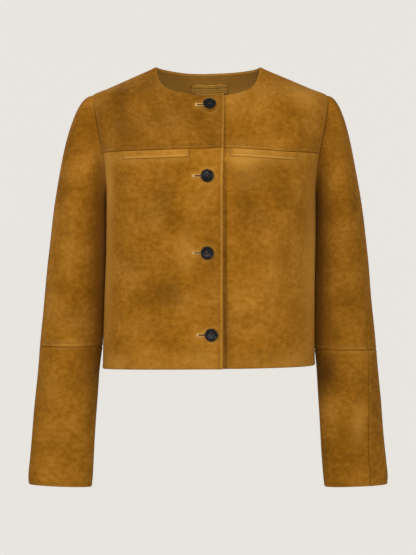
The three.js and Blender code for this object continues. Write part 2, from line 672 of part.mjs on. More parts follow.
// Buttons: a turned disc with a raised rim, four thread holes and a thread shank that
// goes down through the buttonhole to the left front.
const buttonProfile = [
  [0, 0],
  [BUTTON_RADIUS - 2.6, 0],
  [BUTTON_RADIUS - 0.7, 0.9],
  [BUTTON_RADIUS, 2.1],
  [BUTTON_RADIUS - 0.5, 3.4],
  [BUTTON_RADIUS - 1.7, BUTTON_RIM],
  [BUTTON_RADIUS - 3, 3.7],
  [BUTTON_RADIUS - 4.2, BUTTON_DISH],
  [0, BUTTON_DISH - 0.4],
];
const SHANK_OVERLAP = 1;
for (const button of BUTTONS) {
  const { point, out } = shankPlace(button);
  const disc = new THREE.LatheGeometry(
    buttonProfile.map(([radius, height]) => new THREE.Vector2(radius, height)),
    20,
  );
  // The disc's axis stands on the cloth, and lean tips its upper edge in toward the cloth.
  const level = new THREE.Vector3(1, 0, 0);
  const axis = out.clone().applyAxisAngle(level, radians(-button.lean));
  const clearance = LAY_GAP + BUTTON_RADIUS * Math.sin(radians(button.lean));
  const seat = point.clone().addScaledVector(out, LIFT + clearance);
  const stand = new THREE.Quaternion().setFromUnitVectors(new THREE.Vector3(0, 1, 0), axis);
  disc.applyQuaternion(stand).translate(seat.x, seat.y, seat.z);
  let solid = solidOf(disc);
  for (let hole = 0; hole < 4; hole++) {
    const turn = QUARTER * (hole + 0.5);
    const from = new THREE.Vector3(Math.cos(turn), 0, Math.sin(turn))
      .multiplyScalar(THREAD_HOLE_CIRCLE)
      .applyQuaternion(stand)
      .add(seat)
      .addScaledVector(axis, -1);
    solid = solid.subtract(solidOf(cylinderAlong(THREAD_HOLE_RADIUS, BUTTON_RIM + 2, from, axis, 6)));
  }
  const foot = point.clone().addScaledVector(out, LAY_GAP);
  const shankLength = LIFT + clearance - LAY_GAP + SHANK_OVERLAP;
  solid = solid.add(solidOf(cylinderAlong(SHANK_RADIUS, shankLength, foot, out, 12)));
  add(button.name, geometryOf(solid), horn());
}

// Sleeves
const sleeve = {};
for (const key of ["outer", "depth", "forward"]) sleeve[key] = through(SLEEVE, key);
const freeInner = through(SLEEVE_INNER, "x");
function innerEdge(side, z) {
  const body = side * torso.centre(z) + torso.half(z) + SLEEVE_CLEARANCE;
  const free = freeInner(z);
  return lerp(free, body, smoothstep(z, SLEEVE_LEAVES_BODY_Z - 50, SLEEVE_LEAVES_BODY_Z + 30));
}
// A ring of the sleeve at a level, before its folds.
function sleeveRing(side, turn, z) {
  const inner = innerEdge(side, z);
  const half = (sleeve.outer(z) - inner) / 2;
  const c = Math.cos(turn);
  const s = Math.sin(turn);
  const power = 2 / SLEEVE_ROUND;
  const across = Math.sign(c) * Math.abs(c) ** power;
  const rise = CUFF_RISE * across * smoothstep(-z, -ELBOW_Z[side], -CUFF_Z) * 0.5;
  return new THREE.Vector3(
    side * (inner + half + half * across),
    sleeve.forward(z) - sleeve.depth(z) * Math.sign(s) * Math.abs(s) ** power,
    z + rise,
  );
}
// Down the sleeve: -1 is the armhole seam, 0 the bicep line and 1 the cuff.
function sleeveShape(side, turn, down) {
  if (down >= 0) return sleeveRing(side, turn, lerp(BICEP_Z, CUFF_Z, down));
  const way = clamp(1 + down, 0, 1);
  const seam = armholePoint(side, turn);
  seam.x += side * HEAD_GAP;
  const bicep = sleeveRing(side, turn, BICEP_Z);
  return new THREE.Vector3(
    lerp(seam.x, bicep.x, way ** CAP_OUT),
    lerp(seam.y, bicep.y, Math.sin(QUARTER * way)),
    lerp(seam.z, bicep.z, way ** CAP_DOWN),
  );
}
const SLEEVE_TURN_STEP = 0.02;
const SLEEVE_DOWN_STEP = 0.004;
const sleeveOut = (side, shape) => (turn, down) => {
  // The step back from the armhole's edge stays on the sleeve.
  const middle = clamp(down, -1 + SLEEVE_DOWN_STEP, 1 - SLEEVE_DOWN_STEP);
  return facing(shape, turn, middle, SLEEVE_TURN_STEP, SLEEVE_DOWN_STEP).multiplyScalar(side);
};
function sleeveSkin(side) {
  const shape = (turn, down) => sleeveShape(side, turn, down);
  const out = sleeveOut(side, shape);
  return (turn, down) => {
    const point = shape(turn, down);
    const radius = sleeve.depth(clamp(point.z, CUFF_Z, BICEP_Z));
    const height = foldHeight(SLEEVE_FOLDS[side], (fold) => {
      const away = Math.atan2(Math.sin(turn - radians(fold.turn)), Math.cos(turn - radians(fold.turn)));
      return { across: point.z - fold.z, along: away * radius };
    });
    return point.addScaledVector(out(turn, down), height);
  };
}
const hindTurn = (side) => {
  const turn = through(HIND_SEAM[side], "turn");
  return (z) => radians(turn(z));
};
const SLEEVE_COLUMNS = 12;
const CAP_ROWS = 8;
const UPPER_ROWS = 9;
const LOWER_ROWS = 9;
const SLEEVE_SEAM_TURN = SEAM_GAP / 2 / 26; // half a seam's gap as a turn of a section
function sleeveGeometry(side, half, downs) {
  const skin = sleeveSkin(side);
  const out = sleeveOut(side, skin);
  const hind = hindTurn(side);
  const start = half === "front" ? 0 : radians(FORE_SEAM_TURN);
  const end = half === "front" ? radians(FORE_SEAM_TURN) : 2 * Math.PI;
  return wallGeometry(downs, shares(SLEEVE_COLUMNS), (u, down, layer) => {
    const z = down < 0 ? lerp(BICEP_Z, SHOULDER_Z, -down) : lerp(BICEP_Z, CUFF_Z, down);
    const span = lerp(start + SLEEVE_SEAM_TURN, end - SLEEVE_SEAM_TURN, u);
    const turn = hind(z) + span;
    const wall = layer === "inner" ? -WALL : 0;
    return skin(turn, down).addScaledVector(out(turn, down), wall);
  });
}
for (const [side, sideName] of [
  [RIGHT, "right"],
  [LEFT, "left"],
]) {
  const elbow = (ELBOW_Z[side] - BICEP_Z) / (CUFF_Z - BICEP_Z);
  const gap = SEAM_GAP / 2 / (BICEP_Z - CUFF_Z);
  const upper = [
    ...shares(CAP_ROWS).map((s) => s - 1),
    ...shares(UPPER_ROWS).slice(1).map((s) => lerp(0, elbow - gap, s)),
  ];
  const lower = shares(LOWER_ROWS).map((s) => lerp(elbow + gap, 1, s));
  for (const half of ["front", "back"]) {
    add(`upper_sleeve_${half}_${sideName}`, sleeveGeometry(side, half, upper), suede());
    add(`lower_sleeve_${half}_${sideName}`, sleeveGeometry(side, half, lower), suede());
  }
}

export default jacket;
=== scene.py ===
import bpy
import numpy as np
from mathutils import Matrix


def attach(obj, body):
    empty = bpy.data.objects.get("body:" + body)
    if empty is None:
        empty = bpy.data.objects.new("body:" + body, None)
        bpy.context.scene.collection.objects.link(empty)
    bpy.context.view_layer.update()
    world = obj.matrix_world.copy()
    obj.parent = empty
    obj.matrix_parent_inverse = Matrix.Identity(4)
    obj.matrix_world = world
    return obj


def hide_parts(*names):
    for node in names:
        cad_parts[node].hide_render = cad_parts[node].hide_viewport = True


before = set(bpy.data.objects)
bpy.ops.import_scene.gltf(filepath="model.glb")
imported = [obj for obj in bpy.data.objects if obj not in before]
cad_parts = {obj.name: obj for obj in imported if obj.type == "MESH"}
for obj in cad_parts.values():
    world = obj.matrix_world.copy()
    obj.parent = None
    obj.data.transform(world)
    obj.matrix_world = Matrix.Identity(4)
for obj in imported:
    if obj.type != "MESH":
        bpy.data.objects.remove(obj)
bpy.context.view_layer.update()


# Back
# The back is one piece of suede from the hem to the shoulder seams and the neck. It is sewn to
# the fronts at the sides, and its turnings, pressed flat inside, raise a low ridge by each seam.

WALL = 2.0  # suede with its turnings pressed flat
SEAM_GAP = 0.3  # between two pieces that are sewn edge to edge
LEFT, RIGHT = 1, -1  # the wearer's left is at +X
QUARTER = np.pi / 2
TORSO_COLUMNS = ("half", "centre", "front", "back", "round")
TORSO = {  # level: half width, centre, depth in front, depth behind, superellipse exponent
    6: (68.6, 0.4, 21, 28, 2),
    0: (82.3, 0.4, 22, 34, 2),
    -7: (98, 0.6, 25, 45, 2),
    -14: (114, 1, 31, 54, 2),
    -25: (139, 1.5, 44, 66, 2),
    -35: (162, 2, 57, 74, 2),
    -46: (187, 3, 70, 81, 2),
    -60: (191.5, 4.5, 82, 87, 2),
    -80: (189, 5, 92, 92, 2.02),
    -105: (184, 5, 101, 96, 2.06),
    -136: (177.5, 5, 110, 98, 2.15),
    -165: (172, 5, 115.5, 98.5, 2.22),
    -205: (167.4, 4.8, 119, 97, 2.3),
    -250: (167.2, 4.8, 118.5, 93, 2.3),
    -310: (167.2, 4, 115.5, 90, 2.3),
    -370: (167.8, 2.5, 113.5, 91, 2.35),
    -430: (168.6, 1.6, 113.5, 94, 2.38),
    -480: (169, 1.3, 114, 97, 2.4),
    -500: (169, 1.3, 114, 98, 2.4),
}
SIDE_LINE_SHIFT = -5.0  # the side line lies forward of the shoulder line, below the chest
SHOULDER_Z, UNDERARM_Z = -46.0, -205.0
BACK_NECK = [(82.3, 0), (76, -1.6), (65, -3.2), (50, -4.8), (30, -6.1), (0, -6.6)]
ARMHOLE = {  # level: how far the edge lies inside the torso's widest point, in front and behind
    -46: (0, 0),
    -50: (3.4, 3.2),
    -58: (5, 8.6),
    -70: (5.8, 11.8),
    -89: (5.5, 12.2),
    -117: (5.2, 11),
    -137: (5, 9.4),
    -157: (4.3, 7.6),
    -180: (2.9, 4.2),
    -195: (1.3, 1.5),
    -202: (0.4, 0.35),
    -205: (0, 0),
}
HEM_RIGHT_SIDE, HEM_FRONT, HEM_LEFT_SIDE = -482.0, -479.0, -475.8
BACK_RIDGE = 0.25  # share of the back's top edge that each shoulder seam takes
BACK_FOLDS = [  # x, z, length, width, depth and tilt; the first five are the CAD's
    (-96, -300, 90, 20, 2.0, -10),
    (88, -318, 84, 22, 2.0, 9),
    (-8, -415, 60, 26, 1.8, 3),
    (128, -150, 42, 14, 1.6, 20),
    (-124, -156, 46, 13, 1.7, -18),
    (-62, -205, 70, 9, -1.3, -24),
    (54, -214, 76, 10, -1.2, 21),
    (-121, -232, 58, 7, 1.1, -31),
    (118, -240, 52, 8, 1.2, 28),
    (18, -372, 64, 12, -1.0, -8),
    (-52, -428, 46, 11, 1.0, 6),
    (70, -436, 40, 10, -0.9, -5),
    (-28, -120, 44, 15, 0.8, 62),
    (36, -96, 48, 14, -0.8, 74),
    (-112, -396, 44, 9, -1.0, -14),
    (126, -404, 38, 8, 1.0, 12),
]
FRONT_FOLDS = [  # the same columns; the first six are the CAD's
    (-118, -250, 95, 17, 1.6, 8),
    (-72, -396, 80, 22, 1.5, -5),
    (104, -262, 90, 19, 1.7, -9),
    (66, -410, 70, 24, 1.4, 6),
    (-131, -92, 34, 11, 1.3, 24),
    (136, -90, 36, 12, 1.4, -22),
    (-98, -205, 62, 8, -1.0, 19),
    (-134, -322, 70, 7, 0.9, 4),
    (-46, -262, 54, 12, -0.7, 12),
    (-104, -428, 42, 8, -0.8, -11),
    (-60, -330, 44, 9, 0.6, 22),
    (84, -206, 58, 9, -1.0, -16),
    (138, -330, 66, 7, 0.9, -5),
    (52, -300, 50, 12, -0.7, -14),
    (112, -420, 46, 9, -0.9, 9),
    (72, -346, 40, 8, 0.6, -24),
    (-86, -104, 30, 9, -0.6, 38),
    (92, -100, 34, 10, -0.6, -41),
    (-150, -160, 26, 6, 0.8, 32),
    (151, -158, 28, 6, 0.8, -30),
]


def through(rows, column):
    """A smooth function through rows, one for each level: between two rows a cubic whose slope
    at each is the harmonic mean of the rises beside it, or none where they change sign."""
    at = np.array(sorted(rows), float)
    y = np.array([rows[level][column] for level in sorted(rows)], float)
    step = np.diff(at)
    rise = np.diff(y) / step
    product = rise[:-1] * rise[1:]
    total = np.where(product > 0, rise[:-1] + rise[1:], 1)
    slope = np.concatenate([rise[:1], np.where(product > 0, 2 * product / total, 0), rise[-1:]])

    def value(t):
        k = np.clip(np.searchsorted(at, t, side="right") - 1, 0, len(step) - 1)
        s = np.clip((t - at[k]) / step[k], 0, 1)
        near = (1 + 2 * s) * (1 - s) ** 2 * y[k] + s * (1 - s) ** 2 * step[k] * slope[k]
        far = s * s * (3 - 2 * s) * y[k + 1] + s * s * (s - 1) * step[k] * slope[k + 1]
        return near + far

    return value


def smooth(value, start, end):
    """0 up to start, 1 from end on, and between them three squares less two cubes."""
    share = np.clip((value - start) / (end - start), 0, 1)
    return share * share * (3 - 2 * share)


def lerp(start, end, share):
    """The place a share of the way from start to end."""
    return start + (end - start) * share


torso = {name: through(TORSO, i) for i, name in enumerate(TORSO_COLUMNS)}
armhole_in = {"front": through(ARMHOLE, 0), "back": through(ARMHOLE, 1)}


def torso_section(angle, z):
    """A superellipse at each level: across, half times the sine, and in depth, front or back
    times the cosine, each raised to 2 over round. Angle 0 is the centre front."""
    power = 2 / torso["round"](z)
    s, c = np.sin(angle), np.cos(angle)
    depth = np.where(c > 0, -torso["front"](z), torso["back"](z))
    side_line = SIDE_LINE_SHIFT * (1 - smooth(z, -136, -46))
    x = torso["centre"](z) + torso["half"](z) * np.sign(s) * np.abs(s) ** power
    y = side_line + depth * np.abs(c) ** power
    return np.stack(np.broadcast_arrays(x, y, z), axis=-1)


def unit(vectors):
    """The same directions, one long."""
    return vectors / np.maximum(np.linalg.norm(vectors, axis=-1, keepdims=True), 1e-9)


def facing(surface, a, b, step_a, step_b):
    """The direction that a surface faces: the product of its slopes along its two parameters."""
    along_a = surface(a + step_a, b) - surface(a - step_a, b)
    along_b = surface(a, b + step_b) - surface(a, b - step_b)
    return unit(np.cross(along_a, along_b))


def fold_height(folds, ways):
    """Soft ridges and troughs: depth times a bell curve of the way off the fold's line over its
    width, times one of the way along it over its length. Ways gives both from a fold's middle."""
    height = 0
    for first, second, length, width, depth, tilt in folds:
        across, along = ways(first, second)
        turn = np.radians(tilt)
        side = across * np.cos(turn) - along * np.sin(turn)
        way = across * np.sin(turn) + along * np.cos(turn)
        height = height + depth * np.exp(-((side / width) ** 2) - (way / length) ** 2)
    return height


def uneven(a, b):
    """The slack of a skin that never lies quite flat: four long sine waves that run askew."""
    return (
        0.34 * np.sin(a / 23 + b / 61 + 0.7)
        + 0.3 * np.sin(b / 37 - a / 54 + 2.1)
        + 0.22 * np.sin(a / 14.5 - b / 97 + 4)
        + 0.18 * np.sin(b / 17 + a / 33 + 1.3)
    )


def torso_skin(angle, z):
    """The section moved out along its facing by its folds and unevenness, which die away
    toward the side seams so that the pieces meet there."""
    point = torso_section(angle, z)
    x = point[..., 0]
    ahead = np.cos(angle) > 0
    front = fold_height(FRONT_FOLDS, lambda across, level: (x - across, z - level))
    back = fold_height(BACK_FOLDS, lambda across, level: (x - across, z - level))
    height = np.where(ahead, front + uneven(x, z), back + 1.3 * uneven(x + 400, z))
    height = height * smooth(np.abs(np.cos(angle)), 0.06, 0.5)
    return point + facing(torso_section, angle, z, 0.01, 1.0) * height[..., None]


def torso_facing(angle, z):
    """The direction that the folded skin faces."""
    return facing(torso_skin, angle, z, 0.01, 1.0)


def on_skin(place):
    """Places on the folded skin from their angles and levels, and the ways that they face."""
    return torso_skin(place[..., 0], place[..., 1]), torso_facing(place[..., 0], place[..., 1])


def front_angle(x, z):
    """The angle at which the torso's section has a given x, on the front."""
    offset = x - torso["centre"](z)
    share = np.clip(np.abs(offset) / torso["half"](z), 0, 1)
    return np.sign(offset) * np.arcsin(share ** (torso["round"](z) / 2))


def side_angle(side, z, ahead):
    """The angle that lies a distance ahead of or behind the side line, for a seam's allowance."""
    depth = torso["front"](z) if ahead > 0 else torso["back"](z)
    short = np.arcsin((abs(ahead) / depth) ** (torso["round"](z) / 2))
    return side * (QUARTER - np.sign(ahead) * short)


def armhole_angle(side, z, face):
    """The angle of the armhole's edge, which lies inside the torso's widest point."""
    ahead = SEAM_GAP / 2 if face == "front" else -SEAM_GAP / 2
    share = np.clip(1 - armhole_in[face](z) / torso["half"](z), 0, 1)
    angle = np.arcsin(share ** (torso["round"](z) / 2))
    inside = side * (angle if face == "front" else np.pi - angle)
    return np.where((z <= UNDERARM_Z) | (z >= SHOULDER_Z), side_angle(side, z, ahead), inside)


def lines(length, step=2.8, low=True, high=True, marks=()):
    """Shares of a length at which grid lines lie: step apart, closer at the ends and on both
    sides of each marked place in millimetres."""
    close = np.array([0, 0.45, 1, 1.7, 2.6, 3.7, 4.7, 5.6, 6.6, 8, 10])
    close = close[close <= max(length / 2 - 1, 2)]
    start, end = (close[-1] if low else 0), length - (close[-1] if high else 0)
    places = np.linspace(start, end, int(np.ceil((end - start) / step)) + 1)
    around = np.array([-4.2, -3, -2.1, -1.4, -0.8, -0.3, 0.3, 0.8, 1.4, 2.1, 3, 4.2])
    for mark in marks:
        kept = places[np.abs(places - mark) > 5]
        places = np.concatenate([kept, mark + around])
    ends = ([close] if low else []) + ([length - close] if high else [])
    return np.unique(np.round(np.concatenate([places, *ends]), 3)) / length


def crowded(share, low, high):
    """Shares moved closer together, as their squares, at the low end, the high end or both, as
    far as two weights say. Such lines are even along an edge that turns over there."""
    at_high = np.sin(QUARTER * share)
    at_low = 1 - np.cos(QUARTER * share)
    at_both = (1 - np.cos(np.pi * share)) / 2
    upper = lerp(share, at_high, high)
    return lerp(upper, lerp(at_low, at_both, high), low)


def pair(first, level):
    """Two numbers for each place: an angle or an x, and a level."""
    return np.stack(np.broadcast_arrays(first, level), axis=-1)


def patch(u, v, bottom, top, near, far):
    """A place inside four edges: the bottom and the top at u, mixed by v, plus the near and far
    edges at v, mixed by u, less the same mix of the four corners."""
    ends = np.array([0.0, 1.0])
    across, up = u[None, :, None], v[..., None]
    edges = lerp(bottom(u), top(u), up) + lerp(near(v), far(v), across)
    corners = lerp(lerp(*bottom(ends), across), lerp(*top(ends), across), up)
    return edges - corners


def edge_curve(points):
    """A smooth curve through points, by shares of its own length."""
    points = np.array(points, float)
    chord = np.concatenate([[0], np.cumsum(np.linalg.norm(np.diff(points, axis=0), axis=1))])
    rows = {at: tuple(point) for at, point in zip(chord, points)}
    fine = np.linspace(0, chord[-1], 400)
    curve = np.stack([through(rows, 0)(fine), through(rows, 1)(fine)], axis=-1)
    gone = np.concatenate([[0], np.cumsum(np.linalg.norm(np.diff(curve, axis=0), axis=1))])
    return lambda share: pair(*(np.interp(share * gone[-1], gone, curve[:, i]) for i in (0, 1)))


back_neck = edge_curve(BACK_NECK + [(-x, z) for x, z in BACK_NECK[-2::-1]])


def on_back(u, level):
    """Angle and level of a place on the back: level 0 is the hem, 1 the underarm and 2 the
    shoulder seams and the neck. Below the underarm angles are even, and above it the place
    lies inside the armholes, the shoulder seams and the neck, in x and z."""

    def seam(side, z):
        angle = side_angle(side, z, -SEAM_GAP / 2)
        return angle if side == LEFT else angle + 2 * np.pi

    def top(share):
        side = np.where(share < 0.5, LEFT, RIGHT)
        z = lerp(SHOULDER_Z, 0, np.clip(np.minimum(share, 1 - share) / BACK_RIDGE, 0, 1))
        ridge = pair(torso["centre"](z) + side * torso["half"](z), z)
        neck = back_neck(np.clip((share - BACK_RIDGE) / (1 - 2 * BACK_RIDGE), 0, 1))
        neck = neck + np.array([torso["centre"](0), 0])
        return np.where((np.abs(share - 0.5) < 0.5 - BACK_RIDGE)[..., None], neck, ridge)

    def bottom(share):
        angle = lerp(seam(LEFT, UNDERARM_Z), seam(RIGHT, UNDERARM_Z), share)
        return pair(torso_section(angle, np.full_like(angle, UNDERARM_Z))[..., 0], UNDERARM_Z)

    def armhole(side):
        def edge(share):
            z = lerp(UNDERARM_Z, SHOULDER_Z, share)
            return pair(torso_section(armhole_angle(side, z, "back"), z)[..., 0], z)

        return edge

    low_z = lerp(lerp(HEM_LEFT_SIDE, HEM_RIGHT_SIDE, u), UNDERARM_Z, np.clip(level, 0, 1))
    low = pair(lerp(seam(LEFT, low_z), seam(RIGHT, low_z), u), low_z)
    flat = patch(u, np.clip(level - 1, 0, 1), bottom, top, armhole(LEFT), armhole(RIGHT))
    x, z = flat[..., 0], flat[..., 1]
    angle = np.clip(np.pi - front_angle(x, z), seam(LEFT, z), seam(RIGHT, z))
    return np.where((level < 1)[..., None], low, pair(angle, z))


def distance_to(points, edge):
    """Millimetres from each place of a grid to the nearest place on an edge, row by row."""
    step = np.diff(edge, axis=0)
    reach = np.maximum((step**2).sum(1), 1e-9)
    rows = []
    for row in points:
        away = row[:, None] - edge[:-1]
        share = np.clip((away * step).sum(2) / reach, 0, 1)
        rows.append(np.linalg.norm(away - share[..., None] * step, axis=2).min(1))
    return np.array(rows)


def bell(distance, at, width):
    """A bell curve of a distance about a place."""
    return np.exp(-(((distance - at) / width) ** 2))


class Relief:
    """What sewing and pressing do to a piece, and the light and shade painted on it: how far its
    outer and inner sides stand off the plain wall, how much painted shade each side has, and how
    much paler its nap is, from wear and painted light. 0 is not at all."""

    def __init__(self, points):
        for layer in ("outer", "inner", "deep", "wear_and_painted_light", "inner_deep"):
            setattr(self, layer, np.zeros(points.shape[:2]))

    def lighten(self, amount):
        """Makes the nap paler, at least as much as an amount at each place; its callers paint light
        with it, and wear at the edges.
        """
        self.wear_and_painted_light = np.maximum(self.wear_and_painted_light, amount)

    def darken(self, amount):
        """Paints shade on the nap, at least as much as an amount at each place."""
        self.deep = np.maximum(self.deep, amount)

    def seam(self, away, weight=1.0):
        """Dips into a seam, with the ridge of the turnings beside it, painted shade in the seam and
        a painted highlight on the ridge.
        """
        self.outer += weight * (0.4 * bell(away, 3.4, 2.2) - 0.6 * bell(away, 0, 0.9))
        self.darken(weight * 0.8 * bell(away, 0, 1.0))
        self.lighten(weight * 0.35 * bell(away, 3, 1.4))

    def turned(self, away, weight=1.0, thick=0.35):
        """Rounds off where the suede is turned under and sewn down, and paints the rounded edge
        paler, partly wear and partly a painted highlight.
        """
        self.outer += weight * (thick * bell(away, 3, 3.2) - 0.8 * bell(away, 0, 0.8))
        self.inner += weight * 0.65 * bell(away, 0, 0.8)
        self.lighten(weight * 0.6 * bell(away, 0.8, 1.6))

    def stitched(self, away, at, along):
        """Sinks under a row of stitches, with painted shade in the groove, and puckers a little on
        both sides of it.
        """
        pucker = 0.16 * np.sin(along / 1.9) * np.sin(along / 11 + 1) + 0.12 * np.sin(along / 3.1)
        self.outer += pucker * bell(away, at, 4.5) - 0.5 * bell(away, at, 1)
        self.darken(0.55 * bell(away, at, 0.9))


def put_mesh(name, points, faces):
    """An object from points in millimetres and blocks of faces, a row of corners for each face."""
    mesh = bpy.data.meshes.new(name)
    corners = np.concatenate([block.ravel() for block in faces])
    sizes = np.concatenate([np.full(len(block), block.shape[1]) for block in faces])
    mesh.vertices.add(len(points))
    mesh.vertices.foreach_set("co", (points * 0.001).astype(np.float32).ravel())
    mesh.loops.add(len(corners))
    mesh.loops.foreach_set("vertex_index", corners.astype(np.int32))
    mesh.polygons.add(len(sizes))
    starts = np.concatenate([[0], np.cumsum(sizes)[:-1]])
    mesh.polygons.foreach_set("loop_start", starts.astype(np.int32))
    mesh.polygons.foreach_set("use_smooth", np.full(len(sizes), True))
    mesh.update(calc_edges=True)
    piece = bpy.data.objects.new(name, mesh)
    bpy.context.scene.collection.objects.link(piece)
    return piece


def outward(points, faces):
    """The same faces, turned round if the volume that they close comes out negative."""
    volume = 0
    for block in faces:
        for k in range(1, block.shape[1] - 1):
            a, b, c = points[block[:, 0]], points[block[:, k]], points[block[:, k + 1]]
            volume += (a * np.cross(b, c)).sum()
    return faces if volume > 0 else [block[:, ::-1] for block in faces]


def wall_faces(rows, columns):
    """Faces of a closed wall: the outer grid, the inner grid and the rim that joins them."""
    ids = np.arange(rows * columns).reshape(rows, columns)
    under = ids + rows * columns
    grid = np.stack([ids[:-1, :-1], ids[:-1, 1:], ids[1:, 1:], ids[1:, :-1]], axis=-1)
    rim = []
    for outer, inner in (
        (ids[0, ::-1], under[0, ::-1]),
        (ids[-1], under[-1]),
        (ids[:, 0], under[:, 0]),
        (ids[::-1, -1], under[::-1, -1]),
    ):
        rim.append(np.stack([outer[:-1], outer[1:], inner[1:], inner[:-1]], axis=-1))
    outside = grid.reshape(-1, 4)
    return [outside, outside[:, ::-1] + rows * columns, *rim]


# Patches of painted light and shade, such as the shadow beside the placket and the light along the
# body's sides; some stand for the nap's own mottling.
LIGHT_AND_SHADE_PATCHES = [  # x, z, half width and half height of a patch of painted light and shade, and its strength: above 0 pales, below 0 darkens
    (-135, -40, 13, 19, -0.4),
    (-136, -66, 13, 26, -0.45),
    (-130, -102, 26, 20, -0.5),
    (-67, -88, 34, 24, -0.3),
    (-178, -58, 14, 12, 0.8),
    (-12, -92, 16, 18, -0.25),
    (-67, -216, 18, 40, -0.55),
    (-60, -362, 28, 26, -0.9),
    (-100, -242, 20, 20, -0.3),
    (-125, -314, 22, 22, -0.4),
    (-115, -361, 16, 18, -0.25),
    (-135, -187, 14, 14, -0.25),
    (62, -235, 24, 24, -0.55),
    (89, -252, 18, 24, -0.4),
    (58, -402, 26, 20, -0.35),
    (110, -322, 40, 90, 0.2),
    (27, -400, 3, 110, -1.0),
    (32, -440, 8, 60, -0.5),
    (6, -300, 16, 170, -0.3),
    (262, -560, 10, 90, -0.4),
    (-84, -300, 50, 120, -0.12),
    (27, -220, 2, 140, -0.9),
    (-217, -393, 24, 16, -0.4),
    (-233, -590, 20, 20, -0.25),
    (240, -500, 14, 18, -0.3),
    (236, -575, 14, 30, 0.6),
    (212, -590, 10, 30, -0.3),
    (-203, -132, 16, 20, -0.3),
    (225, -369, 18, 30, -0.2),
    (188, -485, 14, 24, -0.6),
    (205, -120, 16, 34, -0.35),
    (54, -150, 28, 18, 1.7),
    (62, -186, 24, 22, 0.5),
    (98, -150, 28, 10, 0.9),
    (134, -152, 18, 9, 0.5),
    (-120, -150, 40, 9, 1.0),
    (-50, -150, 30, 9, 0.8),
    (44, -61, 22, 20, 0.4),
    (150, -44, 30, 14, 1.0),
    (-36, -298, 16, 36, 0.8),
    (-159, -190, 10, 55, 1.6),
    (-162, -300, 11, 130, 1.7),
    (167, -310, 13, 140, 1.7),
    (-17, -219, 14, 20, 0.3),
    (-91, -405, 34, 20, 0.3),
    (-150, -470, 20, 14, 0.6),
    (-6, -460, 26, 18, 0.5),
    (135, -470, 26, 14, 0.5),
    (-221, -282, 12, 44, 0.4),
    (-249, -369, 10, 30, 0.5),
    (-225, -442, 32, 6, 0.9),
    (230, -448, 30, 6, 0.5),
    (-249, -511, 16, 30, 0.4),
    (238, -559, 9, 34, 0.5),
    (265, -662, 14, 8, 0.5),
]


def patches_of_light_and_shade(points, out):
    """Patches of painted light and shade on the sides that face the front: the sum of bell curves
    of the way across and up from each patch's middle, over its half width and half height."""
    x, z = points[..., 0], points[..., 2]
    total = 0
    for at, level, wide, high, nap in LIGHT_AND_SHADE_PATCHES:
        total = total + nap * bell(x, at, wide) * bell(z, level, high)
    return total * smooth(-out[..., 1], -0.2, 0.3)


def put_cloth(name, points, out, relief, material, wall=WALL, number=0, shade=0.0, level=0):
    """A closed wall of suede on a grid of points that face out. The attribute cloth holds each
    place on the flat piece in metres up from its level row, and the piece's number, so that each
    has nap of its own. Shade, one number or one for each place, is painted shade that darkens the
    piece. Below 0 it paints the inner side paler instead, as painted light."""
    outer = points + out * relief.outer[..., None]
    inner = points + out * (relief.inner - wall)[..., None]
    vertices = np.concatenate([outer.reshape(-1, 3), inner.reshape(-1, 3)])
    piece = put_mesh(name, vertices, outward(vertices, wall_faces(*points.shape[:2])))
    across = np.linalg.norm(np.diff(points, axis=1), axis=2)
    up = np.linalg.norm(np.diff(points, axis=0), axis=2)
    shade = np.broadcast_to(shade, points.shape[:2]).ravel()
    x = np.pad(np.cumsum(across, axis=1), ((0, 0), (1, 0)))
    x = x - x[:, -1:] / 2
    z = np.pad(np.cumsum(up, axis=0), ((1, 0), (0, 0)))
    z = z - z[level]
    cloth = np.stack([x * 0.001, z * 0.001, np.full_like(x, number * 1.7)], axis=-1)
    # The patches' painted light and shade are added to the relief's.
    nap = patches_of_light_and_shade(points, out)
    deep = shade + relief.deep.ravel() + np.maximum(-nap, 0).ravel()
    wear_and_painted_light = relief.wear_and_painted_light.ravel() + np.maximum(nap, 0).ravel()
    inside = shade + relief.inner_deep.ravel()
    for title, kind, field, values in (
        ("cloth", "FLOAT_VECTOR", "vector", np.tile(cloth.reshape(-1, 3), (2, 1))),
        ("deep", "FLOAT", "value", np.maximum(np.concatenate([deep, inside]), 0)),
        ("wear_and_painted_light", "FLOAT", "value", np.concatenate([wear_and_painted_light, np.maximum(-shade, 0)])),
    ):
        layer = piece.data.attributes.new(title, kind, "POINT")
        layer.data.foreach_set(field, values.astype(np.float32).ravel())
    piece.data.materials.append(material)
    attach(piece, "root")
    return piece


def linear(code):
    """An sRGB hex value as linear light: each channel, less its offset, to the power 2.4."""
    channels = np.array([int(code[i : i + 2], 16) for i in (1, 3, 5)]) / 255
    light = np.where(channels <= 0.04045, channels / 12.92, ((channels + 0.055) / 1.055) ** 2.4)
    return (*light, 1.0)


def add_node(material, kind, values=None, links=None, **settings):
    """Adds a node with its own settings, its sockets' numbers and what feeds its sockets."""
    tree = material.node_tree
    made = tree.nodes.new(kind)
    for name, value in settings.items():
        setattr(made, name, value)
    for name, value in (values or {}).items():
        made.inputs[name].default_value = value
    for name, source in (links or {}).items():
        tree.links.new(source, made.inputs[name])
    return made


def add_noise(material, vector, scale, detail, roughness=0.5, distortion=0.0):
    """The strength of a noise at each place that a vector gives."""
    values = {"Scale": scale, "Detail": detail, "Roughness": roughness, "Distortion": distortion}
    return add_node(material, "ShaderNodeTexNoise", values, {"Vector": vector}).outputs["Fac"]


def add_ramp(material, strength, stops):
    """A colour for each strength, even between stops that each give a strength and a colour."""
    ramp = add_node(material, "ShaderNodeValToRGB", links={"Fac": strength})
    elements = ramp.color_ramp.elements
    elements[0].position, elements[1].position = stops[0][0], stops[-1][0]
    for at, _ in stops[1:-1]:
        elements.new(at)
    for element, (_, code) in zip(elements, stops):
        element.color = linear(code)
    return ramp.outputs["Color"]


